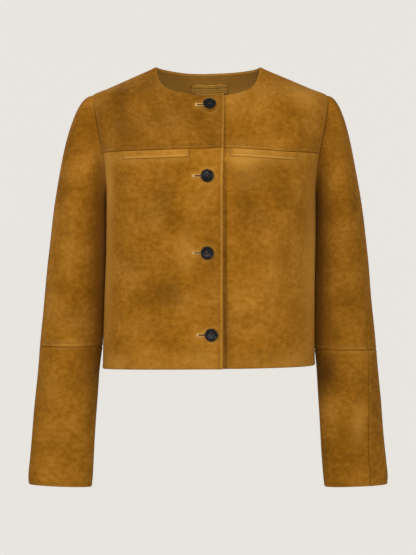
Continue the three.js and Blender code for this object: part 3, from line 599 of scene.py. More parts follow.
def new_material(name):
    """A node material with nothing in it."""
    material = bpy.data.materials.new(name)
    material.use_nodes = True
    material.node_tree.nodes.clear()
    return material


def add_finish(material, values, links=None):
    """The shader that a material shows, with its sockets' numbers and what feeds them."""
    shader = add_node(material, "ShaderNodeBsdfPrincipled", values, links)
    add_node(material, "ShaderNodeOutputMaterial", links={"Surface": shader.outputs["BSDF"]})


# Golden brown suede, split cowhide brushed to a short nap. It is matt; painted light and rubbed
# edges make it paler, and painted shade makes it darker. A soft sheen of loose fibres rims its
# turns.
suede = new_material("brushed_suede")
place = add_node(suede, "ShaderNodeAttribute", attribute_name="cloth").outputs["Vector"]
# Clouds of stroked nap, 30 to 70 mm across
clouds = add_noise(suede, place, 15, 4, 0.52, 0.25)
# Strokes of the brush, 5 to 10 mm high and a little longer across the piece
wider = add_node(suede, "ShaderNodeMapping", {"Scale": (0.8, 1, 1)}, {"Vector": place})
strokes = add_noise(suede, wider.outputs["Vector"], 130, 4, 0.62, 0.25)
# Tufts of nap: real fibres are 0.1 mm thick, too fine for the render, so they are drawn 1.2 mm wide
tufts = add_noise(suede, place, 800, 3, 0.65)
mixed = add_node(suede, "ShaderNodeMath", {1: 0.4}, {0: clouds}, operation="MULTIPLY")
for share, noise in ((0.33, strokes), (0.27, tufts)):
    links = {0: noise, 2: mixed.outputs[0]}
    mixed = add_node(suede, "ShaderNodeMath", {1: share}, links, operation="MULTIPLY_ADD")
stops = ((0.385, "#7c4d07"), (0.5, "#986213"), (0.615, "#b07829"))
tone = add_ramp(suede, mixed.outputs[0], stops)
# Wear and painted light make the nap pale, and painted shade makes it nearly black, each by its
# layer on the mesh
for layer, strength, code in (("wear_and_painted_light", 0.38, "#c8923f"), ("deep", 0.5, "#3a2003")):
    amount = {0: add_node(suede, "ShaderNodeAttribute", attribute_name=layer).outputs["Fac"]}
    share = add_node(suede, "ShaderNodeMath", {1: strength}, amount, operation="MULTIPLY")
    links = {0: share.outputs[0], 6: tone}
    tone = add_node(suede, "ShaderNodeMix", {7: linear(code)}, links, data_type="RGBA").outputs[2]
links = {}
for depth, height in ((0.0006, tufts), (0.0015, strokes)):
    values = {"Strength": 0.5, "Distance": depth}
    bump = add_node(suede, "ShaderNodeBump", values, links | {"Height": height})
    links = {"Normal": bump.outputs["Normal"]}
add_finish(
    suede,
    {
        "Roughness": 0.95,
        "Specular IOR Level": 0.06,
        "Sheen Weight": 0.12,
        "Sheen Roughness": 0.45,
        "Sheen Tint": linear("#f0b45a"),
    },
    {"Base Color": tone} | links,
)

BACK_WIDTH, BACK_SIDE, BACK_ARMHOLE = 455.0, 275.0, 205.0  # along the skin

columns = lines(BACK_WIDTH)
low_rows = lines(BACK_SIDE, high=False)[:-1]
high_rows = lines(BACK_ARMHOLE, step=2.4, low=False)
at_side = smooth(np.abs(columns - 0.5), 0.3, 0.5)
at_ridge = smooth(np.abs(columns - 0.5), 0.12, 0.23)
levels = np.concatenate(
    [
        np.repeat(low_rows[:, None], len(columns), axis=1),
        1 + crowded(high_rows[:, None], at_side, at_ridge),
    ]
)
back_place = on_back(columns, levels)
back_points, back_out = on_skin(back_place)
back_relief = Relief(back_points)
ridge_columns = np.abs(columns - 0.5) > 0.5 - BACK_RIDGE
shoulder_edges = [back_points[-1, ridge_columns & half] for half in (columns < 0.5, columns > 0.5)]
for edge in (back_points[:, 0], back_points[:, -1], *shoulder_edges):
    back_relief.seam(distance_to(back_points, edge))
back_relief.turned(distance_to(back_points, back_points[-1, ~ridge_columns]))
back_relief.turned(distance_to(back_points, back_points[0]))
ARMHOLE_STITCH = 5.2  # from the armhole's edge to the row of stitches on the body
armhole_rows = len(low_rows)
for edge in (back_points[armhole_rows:, 0], back_points[armhole_rows:, -1]):
    away = distance_to(back_points, edge)
    back_relief.stitched(away, ARMHOLE_STITCH, back_points[..., 2] * 1.1)
back = put_cloth("back_of_suede", back_points, back_out, back_relief, suede, number=1)
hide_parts("back")


# Front yokes
# Two pieces of suede run from the neck and the shoulder seams down to the yoke seam. The seam's
# turnings are pressed up and held by a row of stitches, and the right one laps over the left.

LAY_GAP = 0.35  # between a piece and the one that it lies on
LIFT = WALL + LAY_GAP  # the right front rises this far to lie over the left
FRONT_NECK = [
    (0, -52.2),
    (20, -51.6),
    (38, -49),
    (53, -45),
    (66, -38.5),
    (74, -29.5),
    (79, -18.5),
    (81.6, -8.5),
    (82.3, 0),
]
YOKE_SEAM = {-165: (-138.8,), -60: (-138,), 0: (-136.6,), 25: (-135.6,), 62: (-137,)}
YOKE_SEAM |= {139: (-140.2,), 172: (-140,)}
YOKE_SIDE_Z = -139.0
PLACKET_EDGE_TOP, PLACKET_EDGE_HEM = 25.5, 22.6
UNDERLAP = -22.5
YOKE_STITCH = 5.8  # above the yoke seam
PLACKET_STITCH = 6.2  # from the placket's free edge
BUTTONS = [  # x, z and lean of each button from the neck down
    (2.4, -68, 7),
    (-1.2, -180, 0),
    (-1.1, -298.8, 0),
    (5.1, -426, 2),
]
BUTTONHOLE_OUT, BUTTONHOLE_IN = 20.0, 4.0  # from the button's middle, to the right and the left
YOKE_WIDTH, YOKE_HEIGHT = 175.0, 104.0  # along the skin
YOKE_FRONT_Z = -138.0  # the seam's level under the first button
LIFT_START, LIFT_END = -86, -42  # between these the right front rises to its lift

front_neck = edge_curve([(-x, z) for x, z in FRONT_NECK[:0:-1]] + FRONT_NECK)
yoke_seam = through(YOKE_SEAM, 0)


def front_edge(side, z):
    """The free edge of a front at a level: the placket on the right, the underlap on the left."""
    if side == LEFT:
        return np.full_like(z, UNDERLAP)
    return lerp(PLACKET_EDGE_TOP, PLACKET_EDGE_HEM, smooth(-z, 60, 220))


def yoke_line(side, allowance):
    """The yoke seam from the free edge to the armhole, an allowance above or below its middle."""
    level = np.array(YOKE_SIDE_Z)
    start = front_angle(front_edge(side, level), level)
    side_x = side * torso["half"](level) + torso["centre"](level)
    end = armhole_angle(side, yoke_seam(side_x), "front")

    def line(share):
        angle = lerp(start, end, share)
        x = torso_section(angle, np.full_like(angle, YOKE_SIDE_Z))[..., 0]
        return angle, x, yoke_seam(x) + allowance

    return line


def on_yoke(side, u, v):
    """Angle and level of a place on a yoke: the first half of its top edge is the neck and the
    second the shoulder seam, its bottom the yoke seam, its sides the free edge and the armhole."""
    line = yoke_line(side, SEAM_GAP / 2)
    samples = np.linspace(0, 1, 2000)
    start_x = front_edge(side, np.array(SHOULDER_Z))
    neck_start = np.interp(start_x, front_neck(samples)[:, 0], samples)
    neck_end = 1.0 if side == LEFT else 0.0

    def top(share):
        neck = front_neck(lerp(neck_start, neck_end, np.clip(share / 0.5, 0, 1)))
        neck = neck + np.array([torso["centre"](0), 0])
        z = lerp(0, SHOULDER_Z, np.clip((share - 0.5) / 0.5, 0, 1))
        ridge = pair(torso["centre"](z) + side * torso["half"](z), z)
        return np.where((share > 0.5)[..., None], ridge, neck)

    def bottom(share):
        return pair(*line(share)[1:])

    ends = np.array([0.0, 1.0])
    low_start, low_end = line(ends)[2]
    high_start = top(ends)[0, 1]

    def far(share):
        z = lerp(low_end, SHOULDER_Z, share)
        return pair(torso_section(armhole_angle(side, z, "front"), z)[..., 0], z)

    def near(share):
        z = lerp(low_start, high_start, share)
        return pair(front_edge(side, z), z)

    flat = patch(u, v, bottom, top, near, far)
    x, z = flat[..., 0], flat[..., 1]
    seam = side_angle(side, z, SEAM_GAP / 2)
    return pair(side * np.minimum(side * front_angle(x, z), side * seam), z)


def lifted(points, side):
    """How far the right front rises, from none beside the placket to its full lift on it. Its
    free edge stands off further, the more the nearer the hem. The left front sinks beside it."""
    x, z = points[..., 0], points[..., 2]
    down = smooth(-z, 60, 480)
    if side == RIGHT:
        return LIFT * smooth(x, LIFT_START, LIFT_END) + lerp(0.5, 2.2, down) * smooth(x, 4, 26)
    return -lerp(0.5, 2.4, down) * bell(x, 27, 10)


def slit_distance(points, button):
    """Millimetres from a place to the buttonhole's slit, seen from the front."""
    x, z, _ = button
    past = np.maximum(x - BUTTONHOLE_OUT - points[..., 0], points[..., 0] - x - BUTTONHOLE_IN)
    return np.hypot(np.maximum(past, 0), points[..., 2] - z)


def cut_buttonholes(relief, points, buttons):
    """Sinks each slit between two lips that the stitches round it hold up, with painted shade in
    the slit and a painted highlight round it.
    """
    for button in buttons:
        away = slit_distance(points, button)
        relief.outer += 0.55 * bell(away, 1.9, 1.2) - 1.7 * bell(away, 0, 0.75)
        relief.darken(2.0 * bell(away, 0, 1.1))
        relief.lighten(0.8 * bell(away, 4.5, 2.5))
        # A paler ring round each button, a painted highlight.
        round_it = np.hypot(points[..., 0] - button[0], points[..., 2] - button[1])
        relief.lighten(0.9 * bell(round_it, 12.6, 1.8))
        pull = np.hypot(points[..., 0] - button[0], 1.6 * (points[..., 2] - button[1]))
        relief.outer -= 0.5 * bell(pull, 0, 16)


def path_at(points, out, away, at, along_rows):
    """A line on a piece at a distance from one of its edges: on each grid line that leaves the
    edge, the place where the distance is first reached, with the way that the piece faces."""
    if along_rows:
        points, out, away = points.swapaxes(0, 1), out.swapaxes(0, 1), away.T
    if away[-1].mean() < away[0].mean():
        points, out, away = points[::-1], out[::-1], away[::-1]
    reached = np.argmax(away >= at, axis=0)
    kept = reached > 0
    column = np.flatnonzero(kept)
    row = reached[kept]
    low, high = away[row - 1, column], away[row, column]
    share = ((at - low) / (high - low))[:, None]
    place = lerp(points[row - 1, column], points[row, column], share)
    return place, unit(lerp(out[row - 1, column], out[row, column], share))


stitch_rows = []  # each row of sewing: its path, the way that it faces and its stitch length
seams = []  # each seam with turnings: its name, path and facing, and how far the turnings are sunk
STITCH = 3.2
DEEP_TURNINGS, TURNINGS = 3.6, 2.4  # how far they are sunk, under a stitched seam and a plain one


def sew(points, out, away, at, along_rows, pitch=STITCH):
    """Keeps a row of stitches, at a distance from an edge, for the topstitching below."""
    stitch_rows.append((*path_at(points, out, away, at, along_rows), pitch))


for side, side_name, number in ((RIGHT, "right", 2), (LEFT, "left", 3)):
    columns = lines(YOKE_WIDTH)
    marks = (BUTTONS[0][1] - YOKE_FRONT_Z,) if side == RIGHT else ()
    rows = lines(YOKE_HEIGHT, step=2.4, marks=marks)
    turning = smooth(columns, 0.2, 0.42)
    place = on_yoke(side, columns, crowded(rows[:, None], 0, turning))
    points, out = on_skin(place)
    points = points + out * lifted(points, side)[..., None]
    relief = Relief(points)
    past_neck = columns > 0.5
    seam_away = distance_to(points, points[0])
    arm_away = distance_to(points, points[:, -1])
    relief.seam(seam_away, 0.7)
    relief.seam(arm_away, 0.5 * smooth(-points[..., 2], 48, 70))
    # A paler band beside the armhole seam, a painted highlight on the ridge of its turnings.
    relief.lighten(0.6 * bell(arm_away, 4.5, 3.5))
    relief.seam(distance_to(points, points[-1, past_neck]), 0.7)
    relief.turned(distance_to(points, points[-1, ~past_neck]))
    free_away = distance_to(points, points[:, 0])
    relief.turned(free_away, 1.4)
    relief.stitched(seam_away, YOKE_STITCH, points[..., 0])
    relief.stitched(arm_away, ARMHOLE_STITCH, points[..., 2] * 1.1)
    if side == RIGHT:
        relief.stitched(free_away, PLACKET_STITCH, points[..., 2])
        cut_buttonholes(relief, points, BUTTONS[:1])
        # A painted highlight along the placket's free edge.
        relief.wear_and_painted_light += 0.8 * bell(free_away, 1.2, 1.3)
        sew(points, out, free_away, PLACKET_STITCH, True)
    sew(points, out, seam_away, YOKE_STITCH, False)
    sew(points, out, arm_away, ARMHOLE_STITCH, True)
    # Painted shade over each yoke, more on the right one.
    shade = 0.38 if side == RIGHT else 0.08
    name = f"yoke_of_suede_{side_name}"
    yoke = put_cloth(name, points, out, relief, suede, number=number, shade=shade)
    seams.append((f"yoke_turnings_{side_name}", points[0], out[0], DEEP_TURNINGS))
    behind = torso_facing(side_angle(side, points[-1, :, 2], -1), points[-1, :, 2])
    ridge = (points[-1, past_neck], unit(out[-1] + behind)[past_neck])
    seams.append((f"shoulder_turnings_{side_name}", *ridge, DEEP_TURNINGS))
    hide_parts(f"front_yoke_{side_name}")


# Lower fronts
# A panel on each side runs from the yoke seam to the turned hem, with the lower part of the
# armhole. The right one carries three of the buttonholes along its stitched placket edge.

PANEL_WIDTH = 243.0
PANEL_SIDE, PANEL_ARMHOLE = 275.0, 92.0  # lengths of the side seam and of the armhole above it
PLACKET_TOP_Z = -136.0
YOKE_TURN = np.arccos(1 - 2 * (SHOULDER_Z - YOKE_SIDE_Z) / (SHOULDER_Z - UNDERARM_Z))


def hem_level(side, share):
    """The hem sinks or rises evenly from the centre front to the side seam."""
    return lerp(HEM_FRONT, HEM_LEFT_SIDE if side == LEFT else HEM_RIGHT_SIDE, share)


def on_panel(side, u, v):
    """Angle and level of a place on a lower front, inside the hem, the yoke seam, the free edge,
    and the side seam with the armhole above it."""
    line = yoke_line(side, -SEAM_GAP / 2)

    def top(share):
        angle, _, z = line(share)
        return pair(angle, z)

    def bottom(share):
        z = hem_level(side, share)
        start = front_angle(front_edge(side, z), z)
        return pair(lerp(start, side_angle(side, z, SEAM_GAP / 2), share), z)

    ends = np.array([0.0, 1.0])
    low, high = bottom(ends)[:, 1], top(ends)[:, 1]

    def far(share):
        z = lerp(low[1], high[1], share)
        return pair(armhole_angle(side, z, "front"), z)

    def near(share):
        z = lerp(low[0], high[0], share)
        return pair(front_angle(front_edge(side, z), z), z)

    return patch(u, v, bottom, top, near, far)


for side, side_name, number in ((RIGHT, "right", 4), (LEFT, "left", 5)):
    columns = lines(PANEL_WIDTH)
    side_low, side_high = hem_level(side, 1.0), yoke_seam(np.array(side * 176.0))
    underarm = (UNDERARM_Z - side_low) / (side_high - side_low)
    total = PANEL_SIDE + PANEL_ARMHOLE
    placket = PLACKET_TOP_Z - HEM_FRONT
    marks = [(z - HEM_FRONT) / placket * total for _, z, _ in BUTTONS[1:]]
    share = lines(total, marks=marks if side == RIGHT else ())
    past = np.clip((share * total - PANEL_SIDE) / PANEL_ARMHOLE, 0, 1)
    turn = lerp(np.pi, YOKE_TURN, past)
    arm_z = lerp(SHOULDER_Z, UNDERARM_Z, (1 - np.cos(turn)) / 2)
    end_z = lerp(SHOULDER_Z, UNDERARM_Z, (1 - np.cos(YOKE_TURN)) / 2)
    above = (UNDERARM_Z - arm_z) / (UNDERARM_Z - end_z)
    at_arm = np.where(past > 0, lerp(underarm, 1, above), share * total / PANEL_SIDE * underarm)
    levels = lerp(share[:, None], at_arm[:, None], smooth(columns, 0.35, 1))
    place = on_panel(side, columns, levels)
    points, out = on_skin(place)
    points = points + out * lifted(points, side)[..., None]
    relief = Relief(points)
    armhole_rows = past > 0
    seam_away = distance_to(points, points[-1])
    relief.seam(seam_away, 0.7)
    relief.seam(distance_to(points, points[:, -1]), 0.6)
    hem_away = distance_to(points, points[0])
    relief.turned(hem_away, thick=0.45)
    # Painted light: the nap is paler toward the hem.
    relief.lighten(0.4 * (1 - smooth(hem_away, 4, 42)))
    free_away = distance_to(points, points[:, 0])
    relief.turned(free_away, 1.4)
    arm_away = distance_to(points, points[armhole_rows, -1])
    relief.stitched(arm_away, ARMHOLE_STITCH, points[..., 0] * 1.1)
    if side == RIGHT:
        relief.stitched(free_away, PLACKET_STITCH, points[..., 2])
        cut_buttonholes(relief, points, BUTTONS[1:])
        # A painted highlight along the placket's free edge.
        relief.wear_and_painted_light += 0.9 * bell(free_away, 1.2, 1.3)
        sew(points, out, free_away, PLACKET_STITCH, True)
    panel = put_cloth(f"panel_of_suede_{side_name}", points, out, relief, suede, number=number)
    side_seam = (points[~armhole_rows, -1], out[~armhole_rows, -1])
    seams.append((f"side_turnings_{side_name}", *side_seam, TURNINGS))
    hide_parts(f"front_panel_{side_name}")


# Pocket welts
# A folded strip of suede closes each welt pocket, caught in the yoke seam above it and sewn
# down at its ends with a narrow box of stitches.

# Side, x of both ends, height and number of each
WELTS = [("right", -133.5, -29.0, 12.0, 6), ("left", 34.5, 139.5, 11.5, 7)]
WELT_BELOW_SEAM = 1.0
WELT_STITCH = 3.2  # from the welt's end
for side_name, start, end, drop, number in WELTS:
    side = RIGHT if side_name == "right" else LEFT
    columns = lines(end - start, step=2.4)
    rows = lines(drop, step=1.2)
    x = lerp(start, end, columns)[None] + 0 * rows[:, None]
    slant = 3.0 * side * smooth(side * x, 120, 150) * (rows[:, None] - 1)
    z = yoke_seam(x) - WELT_BELOW_SEAM - drop * (1 - rows[:, None])
    angle = front_angle(x + slant, z)
    points, out = torso_skin(angle, z), torso_facing(angle, z)
    points = points + out * (lifted(points, side) + LAY_GAP + WALL)[..., None]
    relief = Relief(points)
    low_away = distance_to(points, points[0])
    top_away = distance_to(points, points[-1])
    relief.turned(low_away, thick=0.5)
    relief.turned(top_away, thick=0.1)
    # Painted highlights along the welt's folded bottom and its top, and a painted shadow line above
    # the left welt's bottom fold.
    relief.wear_and_painted_light += 0.9 * bell(low_away, 1.3, 1.5) + 0.3 * bell(top_away, 3, 2)
    relief.deep += 0.5 * bell(low_away, 3.6, 0.7) * (side == LEFT)
    for column in (0, -1):
        away = distance_to(points, points[:, column])
        relief.turned(away, thick=0.2)
        # Painted shade at the welt's ends.
        relief.deep += 0.9 * bell(away, 0.4, 0.9)
        relief.stitched(away, WELT_STITCH, points[..., 2])
        sew(points, out, away, WELT_STITCH, True, 2.4)
    welt = put_cloth(f"welt_of_suede_{side_name}", points, out, relief, suede, number=number)
    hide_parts(f"pocket_welt_{side_name}")
    size = (abs(end - start) * 0.001 + 0.006, drop * 0.001 + 0.001)


# Back neck facing and hanger loop
# A facing of thin suede backs the neck inside. The loop that the jacket hangs by is a folded
# strip across it, sewn along two lines and pinched where its ends are tacked down.

FACING_WALL, LOOP_WALL = 1.5, 1.4
FACING_WIDTH, FACING_HEIGHT, LOOP_LENGTH, LOOP_WIDTH = 235.0, 62.0, 60.0, 17.0
FACING_COLUMNS, FACING_LEVEL = (5 / 24, 19 / 24), 1.75
LOOP_COLUMNS, LOOP_LEVELS = (10 / 24, 14 / 24), (1.8536, 1.933)
columns, rows = lines(FACING_WIDTH), lines(FACING_HEIGHT, step=2.4)
u = lerp(*FACING_COLUMNS, columns)
at_ridge = smooth(np.abs(u - 0.5), 0.12, 0.23)
place = on_back(u, lerp(FACING_LEVEL, 2, crowded(rows[:, None], 0, at_ridge)))
points, out = on_skin(place)
points = points - out * (WALL + LAY_GAP)
relief = Relief(points)
relief.inner += 0.5 * bell(distance_to(points, points[0]), 0, 0.8)
neck_part = np.abs(u - 0.5) < 0.5 - BACK_RIDGE
relief.inner += 0.5 * bell(distance_to(points, points[-1, neck_part]), 0, 0.8)
# Painted light makes the facing's inner side paler, the more toward its ends.
paler = -1.8 - 0.5 * smooth(np.abs(points[..., 0]), 40, 80)
facing_piece = put_cloth(
    "facing_of_suede", points, out, relief, suede, wall=FACING_WALL, number=8, shade=paler
)
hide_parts("back_neck_facing")

columns, rows = lines(LOOP_LENGTH, step=1.6), lines(LOOP_WIDTH, step=1.2)
u = lerp(*LOOP_COLUMNS, columns)
place = on_back(u, lerp(*LOOP_LEVELS, rows[:, None]) + 0 * u)
points, out = on_skin(place)
slack = 1.6 * np.sin(np.pi * columns) ** 2 + 0.4 * np.sin(7 * np.pi * columns + 0.6)
slack = slack * smooth(np.minimum(columns, 1 - columns), 0.02, 0.14)
points = points - out * (WALL + FACING_WALL + 2 * LAY_GAP + slack[None, :])[..., None]
pinch = 1 - 0.34 * bell(np.minimum(columns, 1 - columns) * LOOP_LENGTH, 3, 3)
middle = points[len(rows) // 2][None]
points = middle + (points - middle) * pinch[None, :, None]
relief = Relief(points)
for row in (0, -1):
    away = distance_to(points, points[row])
    relief.inner += 0.5 * bell(away, 0, 0.7) + 0.45 * bell(away, 3.2, 0.9)
for share in (0.2, 0.42, 0.66):  # three grooves along the loop, between its folds, with painted shade in them
    groove = bell(rows[:, None] * LOOP_WIDTH, share * LOOP_WIDTH, 0.9)
    relief.inner += 0.7 * groove
    relief.inner_deep += 4.8 * groove
# Painted light makes the loop's inner side paler.
loop = put_cloth("loop_of_suede", points, out, relief, suede, wall=LOOP_WALL, number=9, shade=-3.3)
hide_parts("hanger_loop")


# Sleeves
# Each sleeve is four pieces, a front and a back above and below a seam at the elbow. The long
# seams run down the hind and fore side, and the head is eased into the armhole.

BICEP_Z, CUFF_Z = -216.0, -666.0
SLEEVE_COLUMNS = ("outer", "depth", "forward")
SLEEVE = {  # level: the silhouette's x, half the depth, and the middle's y
    -196: (241.8, 63, 4),
    -216: (244.8, 62, 5),
    -254: (250.1, 60, 7.5),
    -312: (256.6, 56, 8),
    -370: (261.8, 52.5, 5),
    -408: (265.2, 49.5, 1),
    -446: (268.3, 46.5, -4),
    -485: (271.4, 44, -9),
    -533: (275.3, 41, -15),
    -581: (279, 38, -21),
    -629: (282.9, 34.5, -27),
    -654: (285, 32.5, -30),
    -666: (284, 31, -31.5),
    -680: (284, 31, -33),
}
SLEEVE_INNER = {  # level: x of the side that faces the body, once the sleeve has left it
    -440: (170.4,),
    -485: (173.5,),
    -533: (176.3,),
    -581: (178.6,),
    -629: (181.2,),
    -654: (182.7,),
    -666: (184.2,),
    -680: (184.2,),
}
SLEEVE_CLEARANCE = 0.1  # from the body, which it rests against
HEAD_GAP = -0.3  # from the armhole's edge, under which the head is tucked
CUFF_RISE = 4.0
SLEEVE_ROUND = 2.15
CAP_OUT, CAP_DOWN = 0.765, 1.8
ELBOW_Z = {LEFT: -451.5, RIGHT: -446.5}
HIND_SEAM = {  # level: degrees from the outer side toward the front
    LEFT: {-40: (-14,), -216: (-4,), -320: (42,), -450: (48,), -550: (58,)},
    RIGHT: {-40: (-14,), -216: (-12,), -320: (-10,), -450: (-10,), -680: (-12,)},
}
HIND_SEAM[LEFT] |= {-620: (66,), -680: (68,)}
SLEEVE_FOLDS = {  # turn, level, length, width, depth and tilt; the first five are the CAD's
    LEFT: [
        (120, -292, 34, 10, 1.8, 24),
        (96, -398, 38, 11, 1.7, -16),
        (74, -520, 30, 12, 1.3, 18),
        (-100, -352, 44, 12, 2.2, 12),
        (-84, -424, 40, 11, 2.0, -10),
        (104, -436, 32, 8, -1.1, -22),
        (112, -258, 36, 8, -1.0, 36),
        (82, -338, 42, 9, -0.9, 12),
        (60, -470, 26, 8, 0.9, -8),
        (100, -585, 30, 9, -0.8, 22),
        (-70, -300, 38, 9, -1.1, -22),
        (-108, -462, 34, 8, -1.1, 8),
        (-92, -540, 36, 10, 1.0, -14),
        (-60, -392, 28, 8, 0.9, 26),
        (40, -236, 30, 10, -0.7, 44),
        (-40, -200, 34, 11, -0.8, -38),
    ],
    RIGHT: [
        (116, -306, 36, 11, 1.8, 20),
        (88, -402, 34, 10, 1.6, -20),
        (100, -548, 32, 12, 1.3, 14),
        (-96, -340, 42, 12, 2.1, 14),
        (-88, -430, 38, 11, 2.0, -12),
        (98, -430, 30, 8, -1.1, 18),
        (108, -268, 34, 9, -1.0, -34),
        (70, -350, 40, 9, -0.8, -14),
        (118, -480, 26, 8, 0.9, 12),
        (84, -610, 28, 9, -0.8, -20),
        (-74, -290, 36, 9, -1.0, 24),
        (-104, -470, 34, 8, -1.1, -10),
        (-90, -560, 36, 10, 1.0, 12),
        (-58, -384, 30, 8, 0.9, -24),
        (44, -228, 30, 10, -0.7, -42),
        (-44, -206, 34, 11, -0.8, 36),
    ],
}
SLEEVE_SEAM_TURN = SEAM_GAP / 2 / 26
SLEEVE_RADIUS = 45  # for the puckers round it
SLEEVE_SIZES = {  # width and length along the skin, then what the sheet is cut to
    "upper": (150.0, 405.0, (0.165, 0.425), 0.0535),
    "lower": (118.0, 215.0, (0.14, 0.22), 0.0302),
}
SLEEVE_STITCH = 6.0  # above the elbow seam
CUFF_STITCH = 4.0  # above the cuff's edge
sleeve = {name: through(SLEEVE, i) for i, name in enumerate(SLEEVE_COLUMNS)}
free_inner = through(SLEEVE_INNER, 0)


def armhole_place(side, turn):
    """Round the armhole on the torso's skin: 0 is the shoulder, a quarter turn the front."""
    z = lerp(SHOULDER_Z, UNDERARM_Z, (1 - np.cos(turn)) / 2)
    front, back = (armhole_angle(side, z, face) for face in ("front", "back"))
    return torso_skin(np.where(np.sin(turn) >= 0, front, back), z)


def sleeve_ring(side, turn, z):
    """A superellipse between the silhouette and the side that faces the body. The cuff's outer
    end rises a little."""
    body = side * torso["centre"](z) + torso["half"](z) + SLEEVE_CLEARANCE
    inner = lerp(free_inner(z), body, smooth(z, -490, -410))
    half = (sleeve["outer"](z) - inner) / 2
    c, s = np.cos(turn), np.sin(turn)
    power = 2 / SLEEVE_ROUND
    across = np.sign(c) * np.abs(c) ** power
    x = side * (inner + half + half * across)
    y = sleeve["forward"](z) - sleeve["depth"](z) * np.sign(s) * np.abs(s) ** power
    rise = CUFF_RISE * across * smooth(-z, -ELBOW_Z[side], -CUFF_Z) * 0.5
    return np.stack([x, y, z + rise], axis=-1)


def sleeve_shape(side, turn, down):
    """Down the sleeve, -1 is the armhole seam, 0 the bicep line and 1 the cuff. The head goes
    out as the way to the power 0.765, down as its power 1.8, and in depth as its sine."""
    turn, down = np.broadcast_arrays(turn, down)
    ring = sleeve_ring(side, turn, lerp(BICEP_Z, CUFF_Z, np.maximum(down, 0)))
    way = np.clip(1 + down, 0, 1)[..., None]
    seam = armhole_place(side, turn) + np.array([side * HEAD_GAP, 0, 0])
    bicep = sleeve_ring(side, turn, np.full_like(turn, BICEP_Z))
    mixing = np.concatenate([way**CAP_OUT, np.sin(QUARTER * way), way**CAP_DOWN], axis=-1)
    return np.where((down >= 0)[..., None], ring, lerp(seam, bicep, mixing))


def sleeve_out(side, shape, turn, down):
    """The way that the sleeve faces, from its slopes just inside its ends."""
    inside = np.clip(down, -0.996, 0.996)
    return side * facing(shape, turn, inside, 0.02, 0.004)


def sleeve_skin(side, turn, down):
    """The sleeve moved out along its facing by its folds and unevenness, which die away where
    the sleeve lies by the body and at the armhole."""
    turn, down = np.broadcast_arrays(turn, down)
    point = sleeve_shape(side, turn, down)
    radius = sleeve["depth"](np.clip(point[..., 2], CUFF_Z, BICEP_Z))

    def around(middle):
        away = turn - np.radians(middle)
        return np.arctan2(np.sin(away), np.cos(away)) * radius

    z = point[..., 2]
    height = fold_height(SLEEVE_FOLDS[side], lambda middle, level: (z - level, around(middle)))
    height = height + uneven(radius * np.sin(turn) * 1.3 + 90 * side, z + 60 * np.cos(turn))
    by_body = smooth(-np.cos(turn), 0.55, 0.95) * smooth(z, -480, -430)
    height = height * (1 - by_body) * smooth(down, -1, -0.85)
    shape = lambda a, b: sleeve_shape(side, a, b)
    return point + sleeve_out(side, shape, turn, down) * height[..., None]


for side, side_name, number in ((RIGHT, "right", 10), (LEFT, "left", 14)):
    hind = through(HIND_SEAM[side], 0)
    elbow = (ELBOW_Z[side] - BICEP_Z) / (CUFF_Z - BICEP_Z)
    gap = SEAM_GAP / 2 / (BICEP_Z - CUFF_Z)
    for half_name, start in (("front", 0.0), ("back", np.pi)):
        for part, (width, length, size, area) in SLEEVE_SIZES.items():
            columns = lines(width)
            if part == "upper":
                rows = lines(length, step=2.6) * (1 + elbow - gap) - 1
            else:
                rows = lerp(elbow + gap, 1, lines(length))
            z = np.where(rows < 0, lerp(BICEP_Z, SHOULDER_Z, -rows), lerp(BICEP_Z, CUFF_Z, rows))
            span = lerp(start + SLEEVE_SEAM_TURN, start + np.pi - SLEEVE_SEAM_TURN, columns)
            turn, down = np.radians(hind(z))[:, None] + span, rows[:, None] + 0 * span
            points = sleeve_skin(side, turn, down)
            out = sleeve_out(side, lambda a, b: sleeve_skin(side, a, b), turn, down)
            relief = Relief(points)
            for column, seam_name in ((0, "hind"), (-1, "fore")):
                relief.seam(distance_to(points, points[:, column]), weight=0.28)
                if half_name == "front":
                    seam_name = f"{part}_{seam_name}_turnings_{side_name}"
                    seams.append((seam_name, points[:, column], out[:, column], TURNINGS))
            if part == "upper":
                seam_name = f"elbow_turnings_{half_name}_{side_name}"
                seams.append((seam_name, points[-1], out[-1], DEEP_TURNINGS))
                seam_name = f"head_turnings_{half_name}_{side_name}"
                seams.append((seam_name, points[0], out[0], TURNINGS))
            # Painted shade on the side that faces the body, where the sleeve lies beside it.
            crevice_shade = smooth(-np.cos(turn), -0.2, 0.85) * smooth(points[..., 2], -570, -470)
            relief.deep += crevice_shade * (0.82 if side == LEFT else 0.78)
            top_away = distance_to(points, points[0])
            low_away = distance_to(points, points[-1])
            around_it = turn * SLEEVE_RADIUS
            at_head = 0.5 * smooth(-points[..., 2], 48, 70)
            relief.seam(top_away, weight=at_head if part == "upper" else 0.7)
            if part == "upper":
                relief.seam(low_away, weight=0.7)
                relief.stitched(low_away, SLEEVE_STITCH, around_it)
                sew(points, out, low_away, SLEEVE_STITCH, False)
            else:
                relief.turned(low_away, thick=0.4)
                relief.stitched(low_away, CUFF_STITCH, around_it)
                sew(points, out, low_away, CUFF_STITCH, False)
            name = f"{part}_sleeve_{half_name}_{side_name}"
            # Painted shade over each sleeve, more on the left.
            title, shade = f"suede_{name}", 0.3 if side == LEFT else 0.18
            cloth = put_cloth(
                title, points, out, relief, suede, number=number, shade=shade, level=-1
            )
            number += 1
            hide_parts(name)


# Seam turnings
# The edges of each pair of pieces are pressed open inside, under their seam, and closed by it.
# They are drawn as one strip along the seam, a little below the walls.

TURNING_WIDTH, TURNING_WALL = 12.0, 0.9


